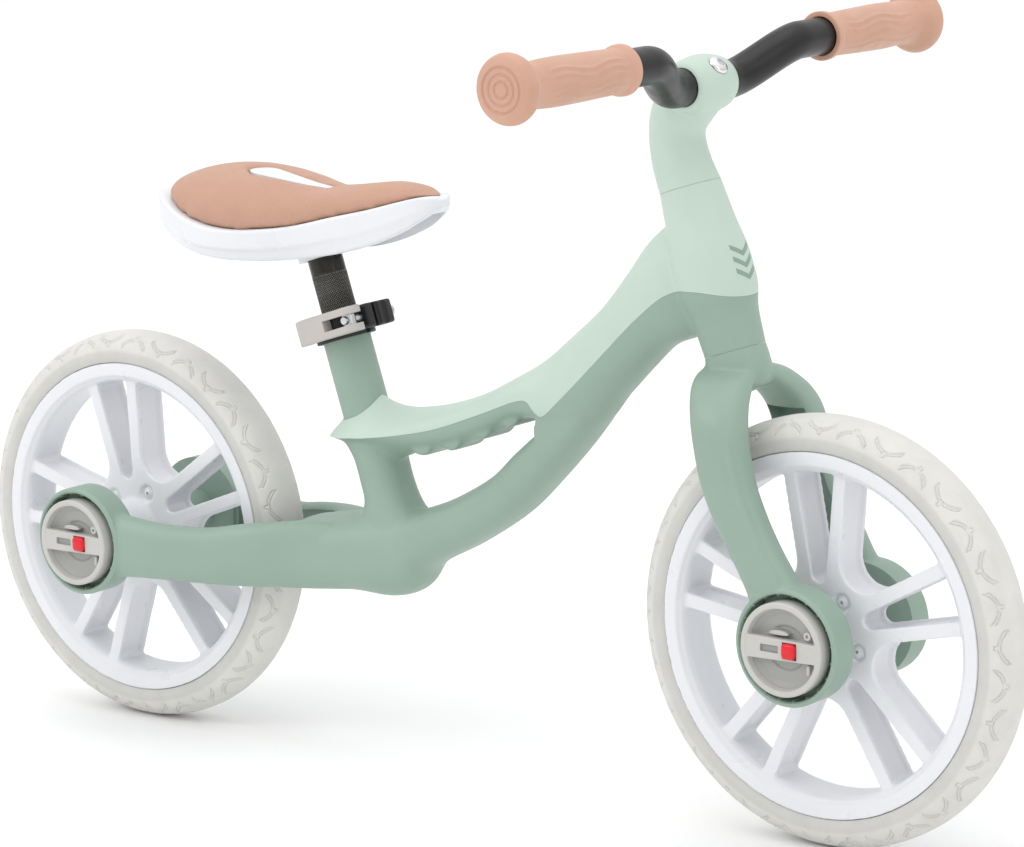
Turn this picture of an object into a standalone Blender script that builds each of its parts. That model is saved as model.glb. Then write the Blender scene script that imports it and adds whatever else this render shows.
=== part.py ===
"""Balance bike for a toddler: moulded frame and fork, two spoked wheels, saddle and bent handlebar.

Lengths below are in millimetres and turn into metres in place(). X runs forward from the rear axle,
Y to the rider's left and Z up from the ground. The world origin is on the ground, midway between the axles.
"""

import math

import bmesh
import bpy
import numpy as np
from mathutils import Matrix, Vector

MM = 0.001
GAP = 0.3

# Facets round a beam, a small turned piece, a large turned piece and a wheel
BEAM_SIDES = 12
SMALL_STEPS = 16
LARGE_STEPS = 22
WHEEL_STEPS = 36

# Driving dimensions
WHEELBASE = 534.0
WHEEL_R = 127.0
TUBE_TILT = math.radians(18.0)
HEAD_POINT = (467.5, 285.0)
HEAD_LENGTH = 98.0
SEAT_POINT = (174.0, 264.0)
SEAT_TUBE_R = 15.0
POST_R = 11.1
BAR_R = 11.1
BAR_AXIS = (446.0, 438.0)
GRIP_AXIS = (462.0, 457.0)
GRIP_INNER_Y = 87.0
GRIP_OUTER_Y = 207.0

# Wheels and hubs
TYRE_HALF_WIDTH = 17.5
RIM_R = 107.6
SPOKE_PAIRS = 5
SPOKE_PHASE = {"front": 20.4, "rear": 28.5}
HUB_HALF_WIDTH = 29.0
BEARING_R = 11.0
BEARING_WIDTH = 7.0
AXLE_R = 4.0
DROPOUT_R = 36.5
DROPOUT_FACE_Y = {"front": 52.0, "rear": 70.0}
DROPOUT_DEPTH = 15.0
RING_TURN = math.radians(7.0)
DISC_R = 28.0
DISC_THICKNESS = 10.0
DISC_RECESS_R = 30.3
DISC_RECESS_DEPTH = 8.0

# Seat clamp, measured in the seat tube's own frame
CLAMP_BOTTOM = 0.6
CLAMP_TOP = 19.0
CLAMP_BOLT = (22.5, 10.5)
LEVER_PIVOT_Y = -19.0
LEVER_HALF_HEIGHT = 7.0

SAGE = (0.318, 0.440, 0.366)
MINT = (0.553, 0.674, 0.591)
PEACH = (0.680, 0.402, 0.283)
WHITE = (0.82, 0.83, 0.86)
PALE_GREY = (0.60, 0.58, 0.55)
BLACK = (0.018, 0.018, 0.019)
STEEL = (0.55, 0.56, 0.58)
RED = (0.78, 0.02, 0.03)

MATERIALS = {
    "frame_plastic": (SAGE, 0.42, 0.0),
    "shell_plastic": (MINT, 0.42, 0.0),
    "grip_rubber": (PEACH, 0.65, 0.0),
    "seat_skin": (PEACH, 0.60, 0.0),
    "white_plastic": (WHITE, 0.30, 0.0),
    "tyre_foam": (PALE_GREY, 0.75, 0.0),
    "lock_plastic": (PALE_GREY, 0.45, 0.0),
    "black_plastic": (BLACK, 0.45, 0.0),
    "black_steel": (BLACK, 0.30, 0.6),
    "zinc_steel": (STEEL, 0.30, 1.0),
    "chrome": (STEEL, 0.08, 1.0),
    "button_plastic": (RED, 0.30, 0.0),
}

for old in list(bpy.data.objects):
    bpy.data.objects.remove(old, do_unlink=True)

parts = bpy.data.collections.new("balance_bike")
cutters = bpy.data.collections.new("cutters")
bpy.context.scene.collection.children.link(parts)
bpy.context.scene.collection.children.link(cutters)


# ---------------------------------------------------------------- placing and small tools

def place(x, y, z):
    """A point given from the rear axle's spot on the ground, in world metres."""
    return Vector((x - WHEELBASE / 2, y, z)) * MM


def tube_frame(foot, along):
    """A frame on a leaning tube: Z up the tube, X forward and square to it, Y to the left."""
    lean = Matrix.Rotation(-TUBE_TILT, 4, "Y")
    start = Matrix.Translation(place(foot[0], 0, foot[1]))
    return start @ lean @ Matrix.Translation((0, 0, along * MM))


def axle_frame(x, y, z, outward=1):
    """A frame whose Z points along world Y, towards the side that outward names."""
    return Matrix.Translation(place(x, y, z)) @ Matrix.Rotation(-outward * math.pi / 2, 4, "X")


def get_material(name):
    found = bpy.data.materials.get(name)
    if found:
        return found
    colour, roughness, metallic = MATERIALS[name]
    made = bpy.data.materials.new(name)
    made.use_nodes = True
    shader = made.node_tree.nodes["Principled BSDF"]
    shader.inputs["Base Color"].default_value = (*colour, 1.0)
    shader.inputs["Roughness"].default_value = roughness
    shader.inputs["Metallic"].default_value = metallic
    return made


def add_object(name, data, material=None, frame=None):
    """Put data in the scene: a part when it has a material, and otherwise a cutter."""
    made = bpy.data.objects.new(name, data)
    if material:
        parts.objects.link(made)
        data.materials.append(get_material(material))
    else:
        cutters.objects.link(made)
        made.hide_render = True
        made.display_type = "WIRE"
    if frame is not None:
        made.matrix_world = frame
    return made


def turned(name, profile, steps, material=None, frame=None, ring=False):
    """A turned piece from (radius, height) points that run down its outer side."""
    data = bpy.data.meshes.new(name)
    points = [(radius * MM, 0, height * MM) for radius, height in profile]
    edges = [(i, i + 1) for i in range(len(points) - 1)]
    if ring:
        edges.append((len(points) - 1, 0))
    data.from_pydata(points, edges, [])
    made = add_object(name, data, material, frame)
    screw = made.modifiers.new("turn", "SCREW")
    screw.steps = steps
    screw.render_steps = steps
    screw.use_merge_vertices = True
    screw.merge_threshold = 0.00001
    return made


def cylinder(name, radius, low, high, steps, material=None, frame=None):
    data = bpy.data.meshes.new(name)
    mesh = bmesh.new()
    radius *= MM
    bmesh.ops.create_cone(
        mesh, cap_ends=True, segments=steps, radius1=radius, radius2=radius, depth=(high - low) * MM)
    bmesh.ops.translate(mesh, vec=(0, 0, (high + low) / 2 * MM), verts=mesh.verts)
    mesh.to_mesh(data)
    mesh.free()
    return add_object(name, data, material, frame)


def box(name, low, high, material=None, frame=None):
    """A block between two corners, from a unit cube."""
    data = bpy.data.meshes.new(name)
    mesh = bmesh.new()
    bmesh.ops.create_cube(mesh, size=1.0)
    size = [(b - a) * MM for a, b in zip(low, high)]
    centre = [(b + a) / 2 * MM for a, b in zip(low, high)]
    bmesh.ops.scale(mesh, vec=size, verts=mesh.verts)
    bmesh.ops.translate(mesh, vec=centre, verts=mesh.verts)
    mesh.to_mesh(data)
    mesh.free()
    return add_object(name, data, material, frame)


def combine(target, other, operation):
    step = target.modifiers.new(operation.lower() + "_" + other.name, "BOOLEAN")
    step.operation = operation
    step.object = other
    return target


def cut(target, *others):
    for other in others:
        combine(target, other, "DIFFERENCE")


def join(target, *others):
    for other in others:
        combine(target, other, "UNION")


def smooth_rows(rows, per_span):
    """Catmull-Rom interpolation of rows of numbers, with per_span new rows for each given span."""
    rows = np.array(rows, dtype=float)
    padded = np.vstack([2 * rows[0] - rows[1], rows, 2 * rows[-1] - rows[-2]])
    result = []
    for i in range(1, len(rows)):
        a, b, c, d = padded[i - 1:i + 3]
        for t in np.arange(per_span) / per_span:
            bend = 2 * a - 5 * b + 4 * c - d
            twist = 3 * b - a - 3 * c + d
            result.append(0.5 * (2 * b + (c - a) * t + bend * t * t + twist * t ** 3))
    result.append(rows[-1])
    return result


def squircle(count, power):
    """Unit points round a superellipse: power 2 is a circle, and more is squarer."""
    ring = []
    for angle in np.arange(count) * 2 * math.pi / count:
        c, s = math.cos(angle), math.sin(angle)
        across = math.copysign(abs(s) ** (2 / power), s)
        ring.append((math.copysign(abs(c) ** (2 / power), c), across))
    return ring


def loft(name, rings, material=None, frame=None):
    """A closed body through rings that all have the same number of points."""
    data = bpy.data.meshes.new(name)
    mesh = bmesh.new()
    loops = [[mesh.verts.new(point) for point in ring] for ring in rings]
    count = len(loops[0])
    for first, second in zip(loops, loops[1:]):
        for i in range(count):
            j = (i + 1) % count
            mesh.faces.new((first[i], first[j], second[j], second[i]))
    mesh.faces.new(list(reversed(loops[0])))
    mesh.faces.new(loops[-1])
    bmesh.ops.recalc_face_normals(mesh, faces=mesh.faces)
    mesh.to_mesh(data)
    mesh.free()
    return add_object(name, data, material, frame)


def side_rings(stations, per_span, count, power):
    """Rings for a beam on the bike's middle plane, from (top x, top z, bottom x, bottom z, half width)."""
    rings = []
    for tx, tz, bx, bz, half in smooth_rows(stations, per_span):
        middle = Vector(((tx + bx) / 2, 0, (tz + bz) / 2))
        rise = Vector(((tx - bx) / 2, 0, (tz - bz) / 2))
        shape = [middle + rise * up + Vector((0, half * across, 0)) for up, across in squircle(count, power)]
        rings.append([place(*point) for point in shape])
    return rings


def level_rings(stations, side, per_span, count, power, plane):
    """Rings across a leg or stay, from (station, centre, centre y, half size, half thickness)."""
    rings = []
    for where, centre, y, half, thick in smooth_rows(stations, per_span):
        ring = []
        for a, b in squircle(count, power):
            across = side * (y + b * thick)
            if plane == "level":
                ring.append(place(centre + a * half, across, where))
            else:
                ring.append(place(where, across, centre + a * half))
        rings.append(ring)
    return rings


def shrunk(stations, wall, shift):
    """The hollow of a leg or stay: its section less a wall, moved towards the wheel and a little along."""
    along = 1.3
    return [(where + along, centre, y - shift, half - wall, thick) for where, centre, y, half, thick in stations]


def outline(name, points, low, high, material=None, frame=None):
    """A flat outline as a filled curve of some thickness, turned into a mesh for cutting."""
    curve = bpy.data.curves.new(name, "CURVE")
    curve.dimensions = "2D"
    curve.fill_mode = "BOTH"
    curve.extrude = (high - low) / 2 * MM
    line = curve.splines.new("POLY")
    line.points.add(len(points) - 1)
    for point, (x, y) in zip(line.points, points):
        point.co = (x * MM, y * MM, 0, 1)
    line.use_cyclic_u = True
    shape = bpy.data.objects.new(name + "_curve", curve)
    cutters.objects.link(shape)
    shape.matrix_world = (frame or Matrix()) @ Matrix.Translation((0, 0, (high + low) / 2 * MM))
    bpy.context.view_layer.update()
    evaluated = shape.evaluated_get(bpy.context.evaluated_depsgraph_get())
    data = bpy.data.meshes.new_from_object(evaluated)
    data.name = name
    mesh = bmesh.new()
    mesh.from_mesh(data)
    bmesh.ops.remove_doubles(mesh, verts=mesh.verts, dist=0.000005)
    bmesh.ops.recalc_face_normals(mesh, faces=mesh.faces)
    mesh.to_mesh(data)
    mesh.free()
    world = shape.matrix_world.copy()
    bpy.data.objects.remove(shape)
    data.materials.clear()
    return add_object(name, data, material, world)


def arc(centre, radius, start, end, count):
    """Points on an arc, with angles in degrees."""
    angles = [math.radians(start + (end - start) * i / (count - 1)) for i in range(count)]
    return [(centre[0] + radius * math.cos(a), centre[1] + radius * math.sin(a)) for a in angles]


# ---------------------------------------------------------------- frame

DECK = [
    (167, 210, 168, 199, 9), (174, 216, 176, 194, 19), (188, 223, 190, 188, 23.5), (208, 229, 212, 190, 23),
    (228, 227, 232, 199, 21), (256, 232, 262, 206, 19.5), (286, 242, 292, 218, 19.5), (312, 255, 321, 231, 20),
    (334, 268, 364, 227, 20), (358, 287, 388, 250, 20.5), (379, 305, 405, 267, 21), (397, 326, 423, 283, 21),
    (413, 347, 443, 291, 19), (432, 362, 457, 298, 15),
]
DOWN_TUBE = [
    (142, 149, 142, 108, 35), (165, 153, 165, 107, 31), (190, 158, 190, 107, 27), (215, 161, 220, 107, 23.5),
    (236, 164, 241, 112, 21), (249, 168, 256, 132, 20), (270, 178, 285, 150, 19.5), (292, 192, 311, 169, 19.5),
    (311, 209, 336, 192, 19.5), (333, 227, 358, 215, 19), (350, 240, 374, 234, 18),
]
STRUT = [
    (203, 194, 0, 19, 18), (192, 199, 0, 16.8, 16.5), (178, 203.5, 0, 16.5, 16.5),
    (166, 208, 0, 18, 17), (156, 211, 0, 24, 19), (146, 214, 0, 30, 20),
]
STAY = [
    (14, 127, 60, 22, 9.8), (32, 126, 59, 20, 10), (60, 125, 53.5, 18, 10), (90, 125, 46, 18, 10),
    (115, 127, 39, 20, 10), (138, 129, 32, 21, 10), (160, 130, 24, 22, 10),
]
YOKE_POCKET = [(136, 146, 136, 112, 24), (160, 149, 160, 112, 22), (176, 146, 176, 116, 14)]
TWO_TONE = [
    (150, 204), (180, 206), (215, 210), (255, 218.5), (294, 232.5), (318, 242), (329, 243.5), (338, 235),
    (355, 248), (385, 276), (414, 303), (434, 317.5), (457, 321), (485, 318), (510, 322), (510, 420), (150, 420),
]
FINGER_BUMPS = [(264, 210.2), (288, 219.8), (311, 230)]
HEAD_PROFILE = [
    (18.3, 98), (19.3, 88), (21, 72), (23.2, 58), (23.6, 46), (23.2, 34), (20.6, 25), (19.4, 18), (18.8, 8),
    (18.3, 0),
]
HEAD_BORE_R = 14.3


def upper_body(label, material=None):
    """Deck, main tube and head tube as one solid, before the two colours are parted."""
    body = loft(label, side_rings(DECK, 1, BEAM_SIDES, 2.5), material)
    profile = [(0, HEAD_LENGTH)] + HEAD_PROFILE + [(0, 0)]
    head = turned(label + "_head", profile, LARGE_STEPS, None, tube_frame(HEAD_POINT, 0))
    join(body, head)
    return body


def two_tone_block(name, grow):
    """Everything above the line where the two colours meet, moved down by grow."""
    points = [(x - WHEELBASE / 2, z - grow) for x, z in TWO_TONE]
    upright = Matrix.Rotation(math.pi / 2, 4, "X")
    return outline(name, points, -60, 60, None, upright)


def build_frame():
    body = upper_body("frame_body", "frame_plastic")
    cut(body, two_tone_block("two_tone_sage", GAP))
    join(body, loft("down_tube", side_rings(DOWN_TUBE, 1, BEAM_SIDES, 2.5)))
    strut = loft("strut", level_rings(STRUT, 1, 1, BEAM_SIDES, 2.0, "level"))
    join(body, strut)
    tube = cylinder("seat_tube", SEAT_TUBE_R, -70, 18, LARGE_STEPS, None, tube_frame(SEAT_POINT, 0))
    join(body, tube)
    for i, (x, z) in enumerate(FINGER_BUMPS):
        join(body, cylinder(f"finger_bump_{i}", 5, -15, 15, 10, None, axle_frame(x, 0, z)))
    for side in (-1, 1):
        add_dropout(body, "rear", side, STAY, "across", 1)
    cut(body, loft("yoke_pocket", side_rings(YOKE_POCKET, 1, BEAM_SIDES, 3.5)))
    cut(body, cylinder("head_bore", HEAD_BORE_R, -5, 103, LARGE_STEPS, None, tube_frame(HEAD_POINT, 0)))
    cut(body, cylinder("post_bore", POST_R + 0.35, -118, 30, SMALL_STEPS, None, tube_frame(SEAT_POINT, 0)))
    cut(body, box("tube_slot", (8, -1.5, 3), (20, 1.5, 30), None, tube_frame(SEAT_POINT, 0)))
    return body


def add_dropout(body, end, side, stations, plane, hollow_from):
    """One stay or fork leg: a beam that is hollow towards the wheel and ends in the ring round its hub."""
    x = 0 if end == "rear" else WHEELBASE
    face = DROPOUT_FACE_Y[end]
    name = f"{end}_{side}"
    hub = axle_frame(x, 0, WHEEL_R, side) @ Matrix.Rotation(RING_TURN, 4, "Z")
    join(body, loft(name + "_beam", level_rings(stations, side, 1, BEAM_SIDES, 2.6, plane)))
    hollow = shrunk(stations[hollow_from:-1], 3.6, 4.2)
    cut(body, loft(name + "_hollow", level_rings(hollow, side, 1, 8, 3.2, plane)))
    cut(body, cylinder(name + "_clear", DROPOUT_R - 1.5, HUB_HALF_WIDTH - 5, face + 5, LARGE_STEPS + 3, None, hub))
    join(body, turned(name + "_ring", ring_profile(end), LARGE_STEPS, None, hub, ring=True))


def ring_profile(end):
    """The dropout ring, with a recess outside for the lock disc and a boss inside that meets the bearing."""
    face = DROPOUT_FACE_Y[end]
    inner = face - DROPOUT_DEPTH
    floor = face - DISC_RECESS_DEPTH
    hole = AXLE_R + GAP
    boss = HUB_HALF_WIDTH + 1.0
    edge = DROPOUT_R
    return [
        (hole, floor), (DISC_RECESS_R, floor), (DISC_RECESS_R, face), (edge - 2.5, face), (edge, face - 2.5),
        (edge, inner), (13, inner), (10, boss), (hole, boss),
    ]


def build_shell():
    shell = upper_body("upper_shell", "shell_plastic")
    combine(shell, two_tone_block("two_tone_mint", 0), "INTERSECT")
    cut(shell, cylinder("tube_clearance", SEAT_TUBE_R + GAP, -75, 40, LARGE_STEPS, None, tube_frame(SEAT_POINT, 0)))
    cut(shell, cylinder("shell_bore", HEAD_BORE_R, -5, 103, LARGE_STEPS, None, tube_frame(HEAD_POINT, 0)))
    return shell


def build_headset():
    """Two plastic bushes that the steerer turns in."""
    inner = STEERER_R + 0.35
    outer = HEAD_BORE_R - GAP
    for name, low, high in (("headset_bush_lower", 0.5, 20), ("headset_bush_upper", 78, HEAD_LENGTH - 0.5)):
        profile = [(inner, high), (outer, high), (outer, low), (inner, low)]
        turned(name, profile, LARGE_STEPS, "black_plastic", tube_frame(HEAD_POINT, 0), ring=True)


# ---------------------------------------------------------------- fork and stem

STEERER_R = 11.0
CROWN_TOP = -0.4
LEG = [
    (277, 470, 5, 16, 12), (273, 471.5, 15, 17, 15), (267, 474.5, 24, 17.3, 15), (259.5, 478.5, 32, 17, 14),
    (249, 482.5, 38, 17, 12.5), (234, 486, 40.5, 17, 11.3), (216, 490.5, 41, 17.2, 11), (198, 498, 41, 17.2, 11),
    (181, 507.5, 41, 17.2, 10.8), (165, 517, 41.5, 18.5, 10.2), (150, 526, 42.5, 23, 9.4), (136, 532, 43.5, 27, 8),
]
LEG_HOLLOW_FROM = 4
CROWN_PROFILE = [(0, 0), (18.3, 0), (18.8, -8), (18.2, -16), (15, -24), (0, -26)]
STEM_NECK = [
    (420.0, 372.8, 454.2, 383.9, 18), (414.5, 389, 448, 396, 16.6), (412, 407, 444.5, 409, 16),
    (414, 424, 450, 417, 16.5), (421, 438, 458, 426, 15), (430, 447, 460, 433, 11),
]
STEM_HEAD_R = 18.0
STEM_HALF_WIDTH = 19.5
BOLT_DIRECTION = math.radians(45.0)


def build_fork():
    fork = turned("fork", CROWN_PROFILE, LARGE_STEPS, "frame_plastic", tube_frame(HEAD_POINT, CROWN_TOP))
    for side in (-1, 1):
        add_dropout(fork, "front", side, LEG, "level", LEG_HOLLOW_FROM)
    cut(fork, cylinder("fork_bore", STEERER_R + GAP, -22, 20, SMALL_STEPS, None, tube_frame(HEAD_POINT, 0)))


def build_steerer():
    """The steel tube that joins the fork to the stem through the frame's head tube."""
    profile = [(8.5, 124), (STEERER_R, 124), (STEERER_R, -21), (8.5, -21)]
    turned("steerer_tube", profile, SMALL_STEPS, "zinc_steel", tube_frame(HEAD_POINT, 0), ring=True)


def build_stem():
    """A goose-neck stem with a barrel-shaped head round the handlebar."""
    stem = loft("stem", side_rings(STEM_NECK, 1, SMALL_STEPS, 2.1), "shell_plastic")
    r, w = STEM_HEAD_R, STEM_HALF_WIDTH
    profile = [(0, w), (r - 4.5, w), (r - 2, w * 0.75), (r, w * 0.2), (r, -w * 0.2), (r - 2, -w * 0.75),
               (r - 4.5, -w), (0, -w)]
    join(stem, turned("stem_head", profile, LARGE_STEPS, None, axle_frame(BAR_AXIS[0], 0, BAR_AXIS[1])))
    cut(stem, cylinder("bar_hole", BAR_R + GAP, -30, 30, SMALL_STEPS, None, axle_frame(BAR_AXIS[0], 0, BAR_AXIS[1])))
    cut(stem, cylinder("stem_bore", STEERER_R + GAP, 80, 126, SMALL_STEPS, None, tube_frame(HEAD_POINT, 0)))
    cut(stem, cylinder("bolt_hole", 3.3, 8, 30, 12, None, bolt_frame()))
    cut(stem, cylinder("bolt_seat", 7.0, 16.2, 30, SMALL_STEPS, None, bolt_frame()))


def bolt_frame():
    """Z points from the handlebar's axis forward and up, along the stem's bolt."""
    return Matrix.Translation(place(BAR_AXIS[0], 0, BAR_AXIS[1])) @ Matrix.Rotation(BOLT_DIRECTION, 4, "Y")


def build_stem_bolt():
    profile = [(0, 19.6), (3, 19.4), (5.2, 18.4), (6.3, 16.9), (6.3, 16.5), (3, 16.5), (3, 11.6), (0, 11.6)]
    turned("stem_bolt", profile, SMALL_STEPS, "chrome", bolt_frame())


# ---------------------------------------------------------------- handlebar and grips

def bar_centre_line():
    """Half of the bar's centre line, from its middle to its end: level, bent up and forward, level."""
    start = (BAR_AXIS[0], BAR_AXIS[1])
    finish = GRIP_AXIS
    rows = []
    for y in (0, 14, 26, 33, 40, 47, 54, 61, 68, 76, 86, 205):
        t = min(max((y - 26) / 50, 0), 1)
        ease = t * t * (3 - 2 * t)
        rows.append((start[0] + (finish[0] - start[0]) * ease, y, start[1] + (finish[1] - start[1]) * ease))
    return rows


def build_handlebar():
    curve = bpy.data.curves.new("handlebar", "CURVE")
    curve.dimensions = "3D"
    curve.bevel_depth = BAR_R * MM
    curve.bevel_resolution = 3
    curve.use_fill_caps = True
    half = bar_centre_line()
    route = [(x, -y, z) for x, y, z in reversed(half[1:])] + half
    line = curve.splines.new("POLY")
    line.points.add(len(route) - 1)
    for point, where in zip(line.points, route):
        point.co = (*place(*where), 1)
    add_object("handlebar", curve, "black_steel")


def build_grips():
    """A collar at the inner end, a swelling body and a mushroom end that stops the hand."""
    bore = BAR_R + GAP
    low, high = GRIP_INNER_Y, GRIP_OUTER_Y
    profile = [
        (0, high), (15, high), (19.5, high - 2.5), (21, high - 7.5), (19, high - 12.5), (14.5, high - 17),
        (13.4, high - 24), (14.6, high - 52), (13, low + 6), (15.4, low + 4.5), (15.4, low), (bore, low),
        (bore, high - 1.8), (0, high - 1.8),
    ]
    for label, side in (("right", -1), ("left", 1)):
        turned("grip_" + label, profile, SMALL_STEPS, "grip_rubber", axle_frame(GRIP_AXIS[0], 0, GRIP_AXIS[1], side))


# ---------------------------------------------------------------- wheels

def build_wheel(end):
    x = 0 if end == "rear" else WHEELBASE
    hub = axle_frame(x, 0, WHEEL_R)
    build_tyre(end, hub)
    build_rim(end, hub)
    for label, side in (("right", -1), ("left", 1)):
        build_bearing(end, label, axle_frame(x, 0, WHEEL_R, side))
    spacer_half = HUB_HALF_WIDTH - BEARING_WIDTH - 1.0
    profile = [(AXLE_R + GAP, spacer_half), (6.5, spacer_half), (6.5, -spacer_half), (AXLE_R + GAP, -spacer_half)]
    turned(end + "_hub_spacer", profile, SMALL_STEPS, "zinc_steel", hub, ring=True)
    reach = DROPOUT_FACE_Y[end] - DISC_RECESS_DEPTH - 0.3
    cylinder(end + "_axle", AXLE_R, -reach, reach, SMALL_STEPS, "zinc_steel", hub)


def build_tyre(end, hub):
    """Solid foam tyre, with a channel that sits on the rim. One facet of its tread lies flat on the ground."""
    w = TYRE_HALF_WIDTH
    inner = RIM_R - 5.5
    half_step = math.pi / WHEEL_STEPS
    tread = WHEEL_R / math.cos(half_step)
    half = [(tread, w * 0.2), (tread - 4, w * 0.75), (tread - 14, w), (RIM_R + GAP, w - 0.8)]
    outer = [(r, y) for r, y in reversed(half)] + [(r, -y) for r, y in half]
    profile = outer + [(RIM_R + GAP, -12.5), (inner, -10), (inner, 10), (RIM_R + GAP, 12.5)]
    turned_hub = hub @ Matrix.Rotation(half_step, 4, "Z")
    turned(end + "_tyre", profile, WHEEL_STEPS, "tyre_foam", turned_hub, ring=True)


def build_rim(end, hub):
    """Rim barrel, hub and pairs of deep flat spokes, each pair joined like a hairpin at the hub."""
    lip = RIM_R
    bed = lip - 5.5 - GAP
    barrel = [
        (lip, 17.3), (lip, 13), (bed, 10.3), (bed, -10.3), (lip, -13), (lip, -17.3), (97, -17),
        (95, -10), (95, 10), (97, 17),
    ]
    turned_hub = hub @ Matrix.Rotation(math.pi / WHEEL_STEPS, 4, "Z")
    rim = turned(end + "_rim", barrel, WHEEL_STEPS, "white_plastic", turned_hub, ring=True)
    join(rim, spokes(end, hub))
    w = HUB_HALF_WIDTH
    seat = w - BEARING_WIDTH - 0.7
    bore = BEARING_R + GAP
    core = [
        (bore, w), (14.5, w), (16.5, 14), (31.5, 9), (31.5, -9), (16.5, -14), (14.5, -w), (bore, -w),
        (bore, -seat), (8, -seat), (8, seat), (bore, seat),
    ]
    join(rim, turned(end + "_hub", core, SMALL_STEPS, None, hub, ring=True))


def spokes(end, hub):
    """Ten flat bars in five pairs. Local X and Y lie in the wheel's plane."""
    data = bpy.data.meshes.new(end + "_spokes")
    mesh = bmesh.new()
    inner, outer, width, depth = 20.0, 96.0, 8.6, 25.0
    spread = math.atan2(8.7, 64.0)
    for i in range(SPOKE_PAIRS):
        turn = math.radians(SPOKE_PHASE[end] + i * 360 / SPOKE_PAIRS)
        for side in (-1, 1):
            bar = bmesh.ops.create_cube(mesh, size=1.0)["verts"]
            bmesh.ops.scale(mesh, vec=((outer - inner) * MM, width * MM, depth * MM), verts=bar)
            bmesh.ops.translate(mesh, vec=((outer - inner) / 2 * MM, 0, 0), verts=bar)
            bmesh.ops.rotate(mesh, cent=(0, 0, 0), matrix=Matrix.Rotation(side * spread, 3, "Z"), verts=bar)
            bmesh.ops.translate(mesh, vec=(inner * MM, side * 7.2 * MM, 0), verts=bar)
            bmesh.ops.rotate(mesh, cent=(0, 0, 0), matrix=Matrix.Rotation(-turn, 3, "Z"), verts=bar)
    mesh.to_mesh(data)
    mesh.free()
    return add_object(end + "_spokes", data, None, hub)


def build_bearing(end, label, hub):
    high = HUB_HALF_WIDTH
    low = high - BEARING_WIDTH
    inner = AXLE_R + GAP
    profile = [(inner, high), (BEARING_R, high), (BEARING_R, low), (inner, low)]
    turned(f"{end}_bearing_{label}", profile, SMALL_STEPS, "zinc_steel", hub, ring=True)


# ---------------------------------------------------------------- hub lock discs

BUTTON_X = 6.0
BUTTON_HALF = 4.0
HANDLE_HALF_HEIGHT = 6.5


def build_lock(end, label, side):
    """A cup with a raised rim and a bar across it to turn it by, and a button let into the bar."""
    x = 0 if end == "rear" else WHEELBASE
    hub = axle_frame(x, 0, WHEEL_R, side)
    base = DROPOUT_FACE_Y[end] - DISC_RECESS_DEPTH + GAP
    top = base + DISC_THICKNESS
    r = DISC_R
    cup = [
        (0, base + 3), (16, base + 3.4), (23.5, base + 6), (24.8, top), (r, top - 0.8), (r, base), (0, base),
    ]
    disc = turned(f"{end}_lock_disc_{label}", cup, LARGE_STEPS, "lock_plastic", hub)
    span = math.sqrt(24.2 ** 2 - HANDLE_HALF_HEIGHT ** 2)
    low = (-span, -HANDLE_HALF_HEIGHT, base + 1)
    high = (span, HANDLE_HALF_HEIGHT, top - 0.8)
    join(disc, box(f"{end}_handle_{label}", low, high, None, hub))
    b = BUTTON_HALF
    pocket_low = (BUTTON_X - b - GAP, -b - GAP, base + 2)
    pocket_high = (BUTTON_X + b + GAP, b + GAP, top + 5)
    cut(disc, box(f"{end}_button_pocket_{label}", pocket_low, pocket_high, None, hub))
    slot_low = (-12.5, -2.2, top - 3)
    slot_high = (-1.5, 2.2, top + 5)
    cut(disc, box(f"{end}_handle_slot_{label}", slot_low, slot_high, None, hub))
    name = f"{end}_lock_button_{label}"
    button = box(name, (BUTTON_X - b, -b, base + 4.4), (BUTTON_X + b, b, top + 0.6), "button_plastic", hub)
    soften(button, 0.9, 1)


def soften(target, width, segments):
    bevel = target.modifiers.new("round_edges", "BEVEL")
    bevel.width = width * MM
    bevel.segments = segments
    bevel.limit_method = "ANGLE"


# ---------------------------------------------------------------- seat

SEAT_BASE = [
    (46.5, 18, 336, 343.5), (54, 37, 332, 343.5), (68, 49, 328, 342.5), (88, 57.5, 323, 341), (108, 60, 320, 339),
    (126, 56.5, 319, 338.5), (144, 47.5, 319.5, 339), (162, 37, 321.5, 340.5), (184, 28, 326.5, 344),
    (208, 22.5, 334, 349), (230, 19, 342, 354), (244, 15, 349, 357.5), (251.5, 7.5, 353.5, 358),
]
PAD_INSET = 5.0
PAD_CROWN = [(0.0, 14), (0.25, 21), (0.5, 22), (0.7, 20), (0.85, 16), (0.95, 12), (1.0, 6)]
SLOT = (86.0, 166.0, 12.5, 4.5)
POST_TOP = 70.0
POST_BOTTOM = -85.0
SEAT_SOCKET = [(172.8, 319.3, 142.4, 309.5, 16), (167, 338.0, 133, 337.6, 17)]


def saddle_rings(stations, shape):
    """Rings across the saddle from (x, half width, low z, high z)."""
    rings = []
    for x, half, low, high in smooth_rows(stations, 1):
        rings.append([place(x, half * a, low + (high - low) * b) for a, b in shape])
    return rings


def base_section():
    """Flat top, sides that lean in towards the bottom."""
    return [(1, 1), (0.5, 1), (0, 1), (-0.5, 1), (-1, 1), (-0.97, 0.45), (-0.86, 0), (-0.4, 0), (0.4, 0), (0.86, 0),
            (0.97, 0.45)]


def hollow_section():
    return [(0.9, 0.8), (0.45, 0.85), (-0.45, 0.85), (-0.9, 0.8), (-0.78, -0.5), (0, -0.5), (0.78, -0.5)]


def pad_section():
    """Flat bottom and a crowned top."""
    top = [(math.cos(a), math.sin(a) ** 0.7) for a in np.linspace(0, math.pi, 11)]
    return top + [(-0.5, 0), (0, 0), (0.5, 0)]


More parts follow.
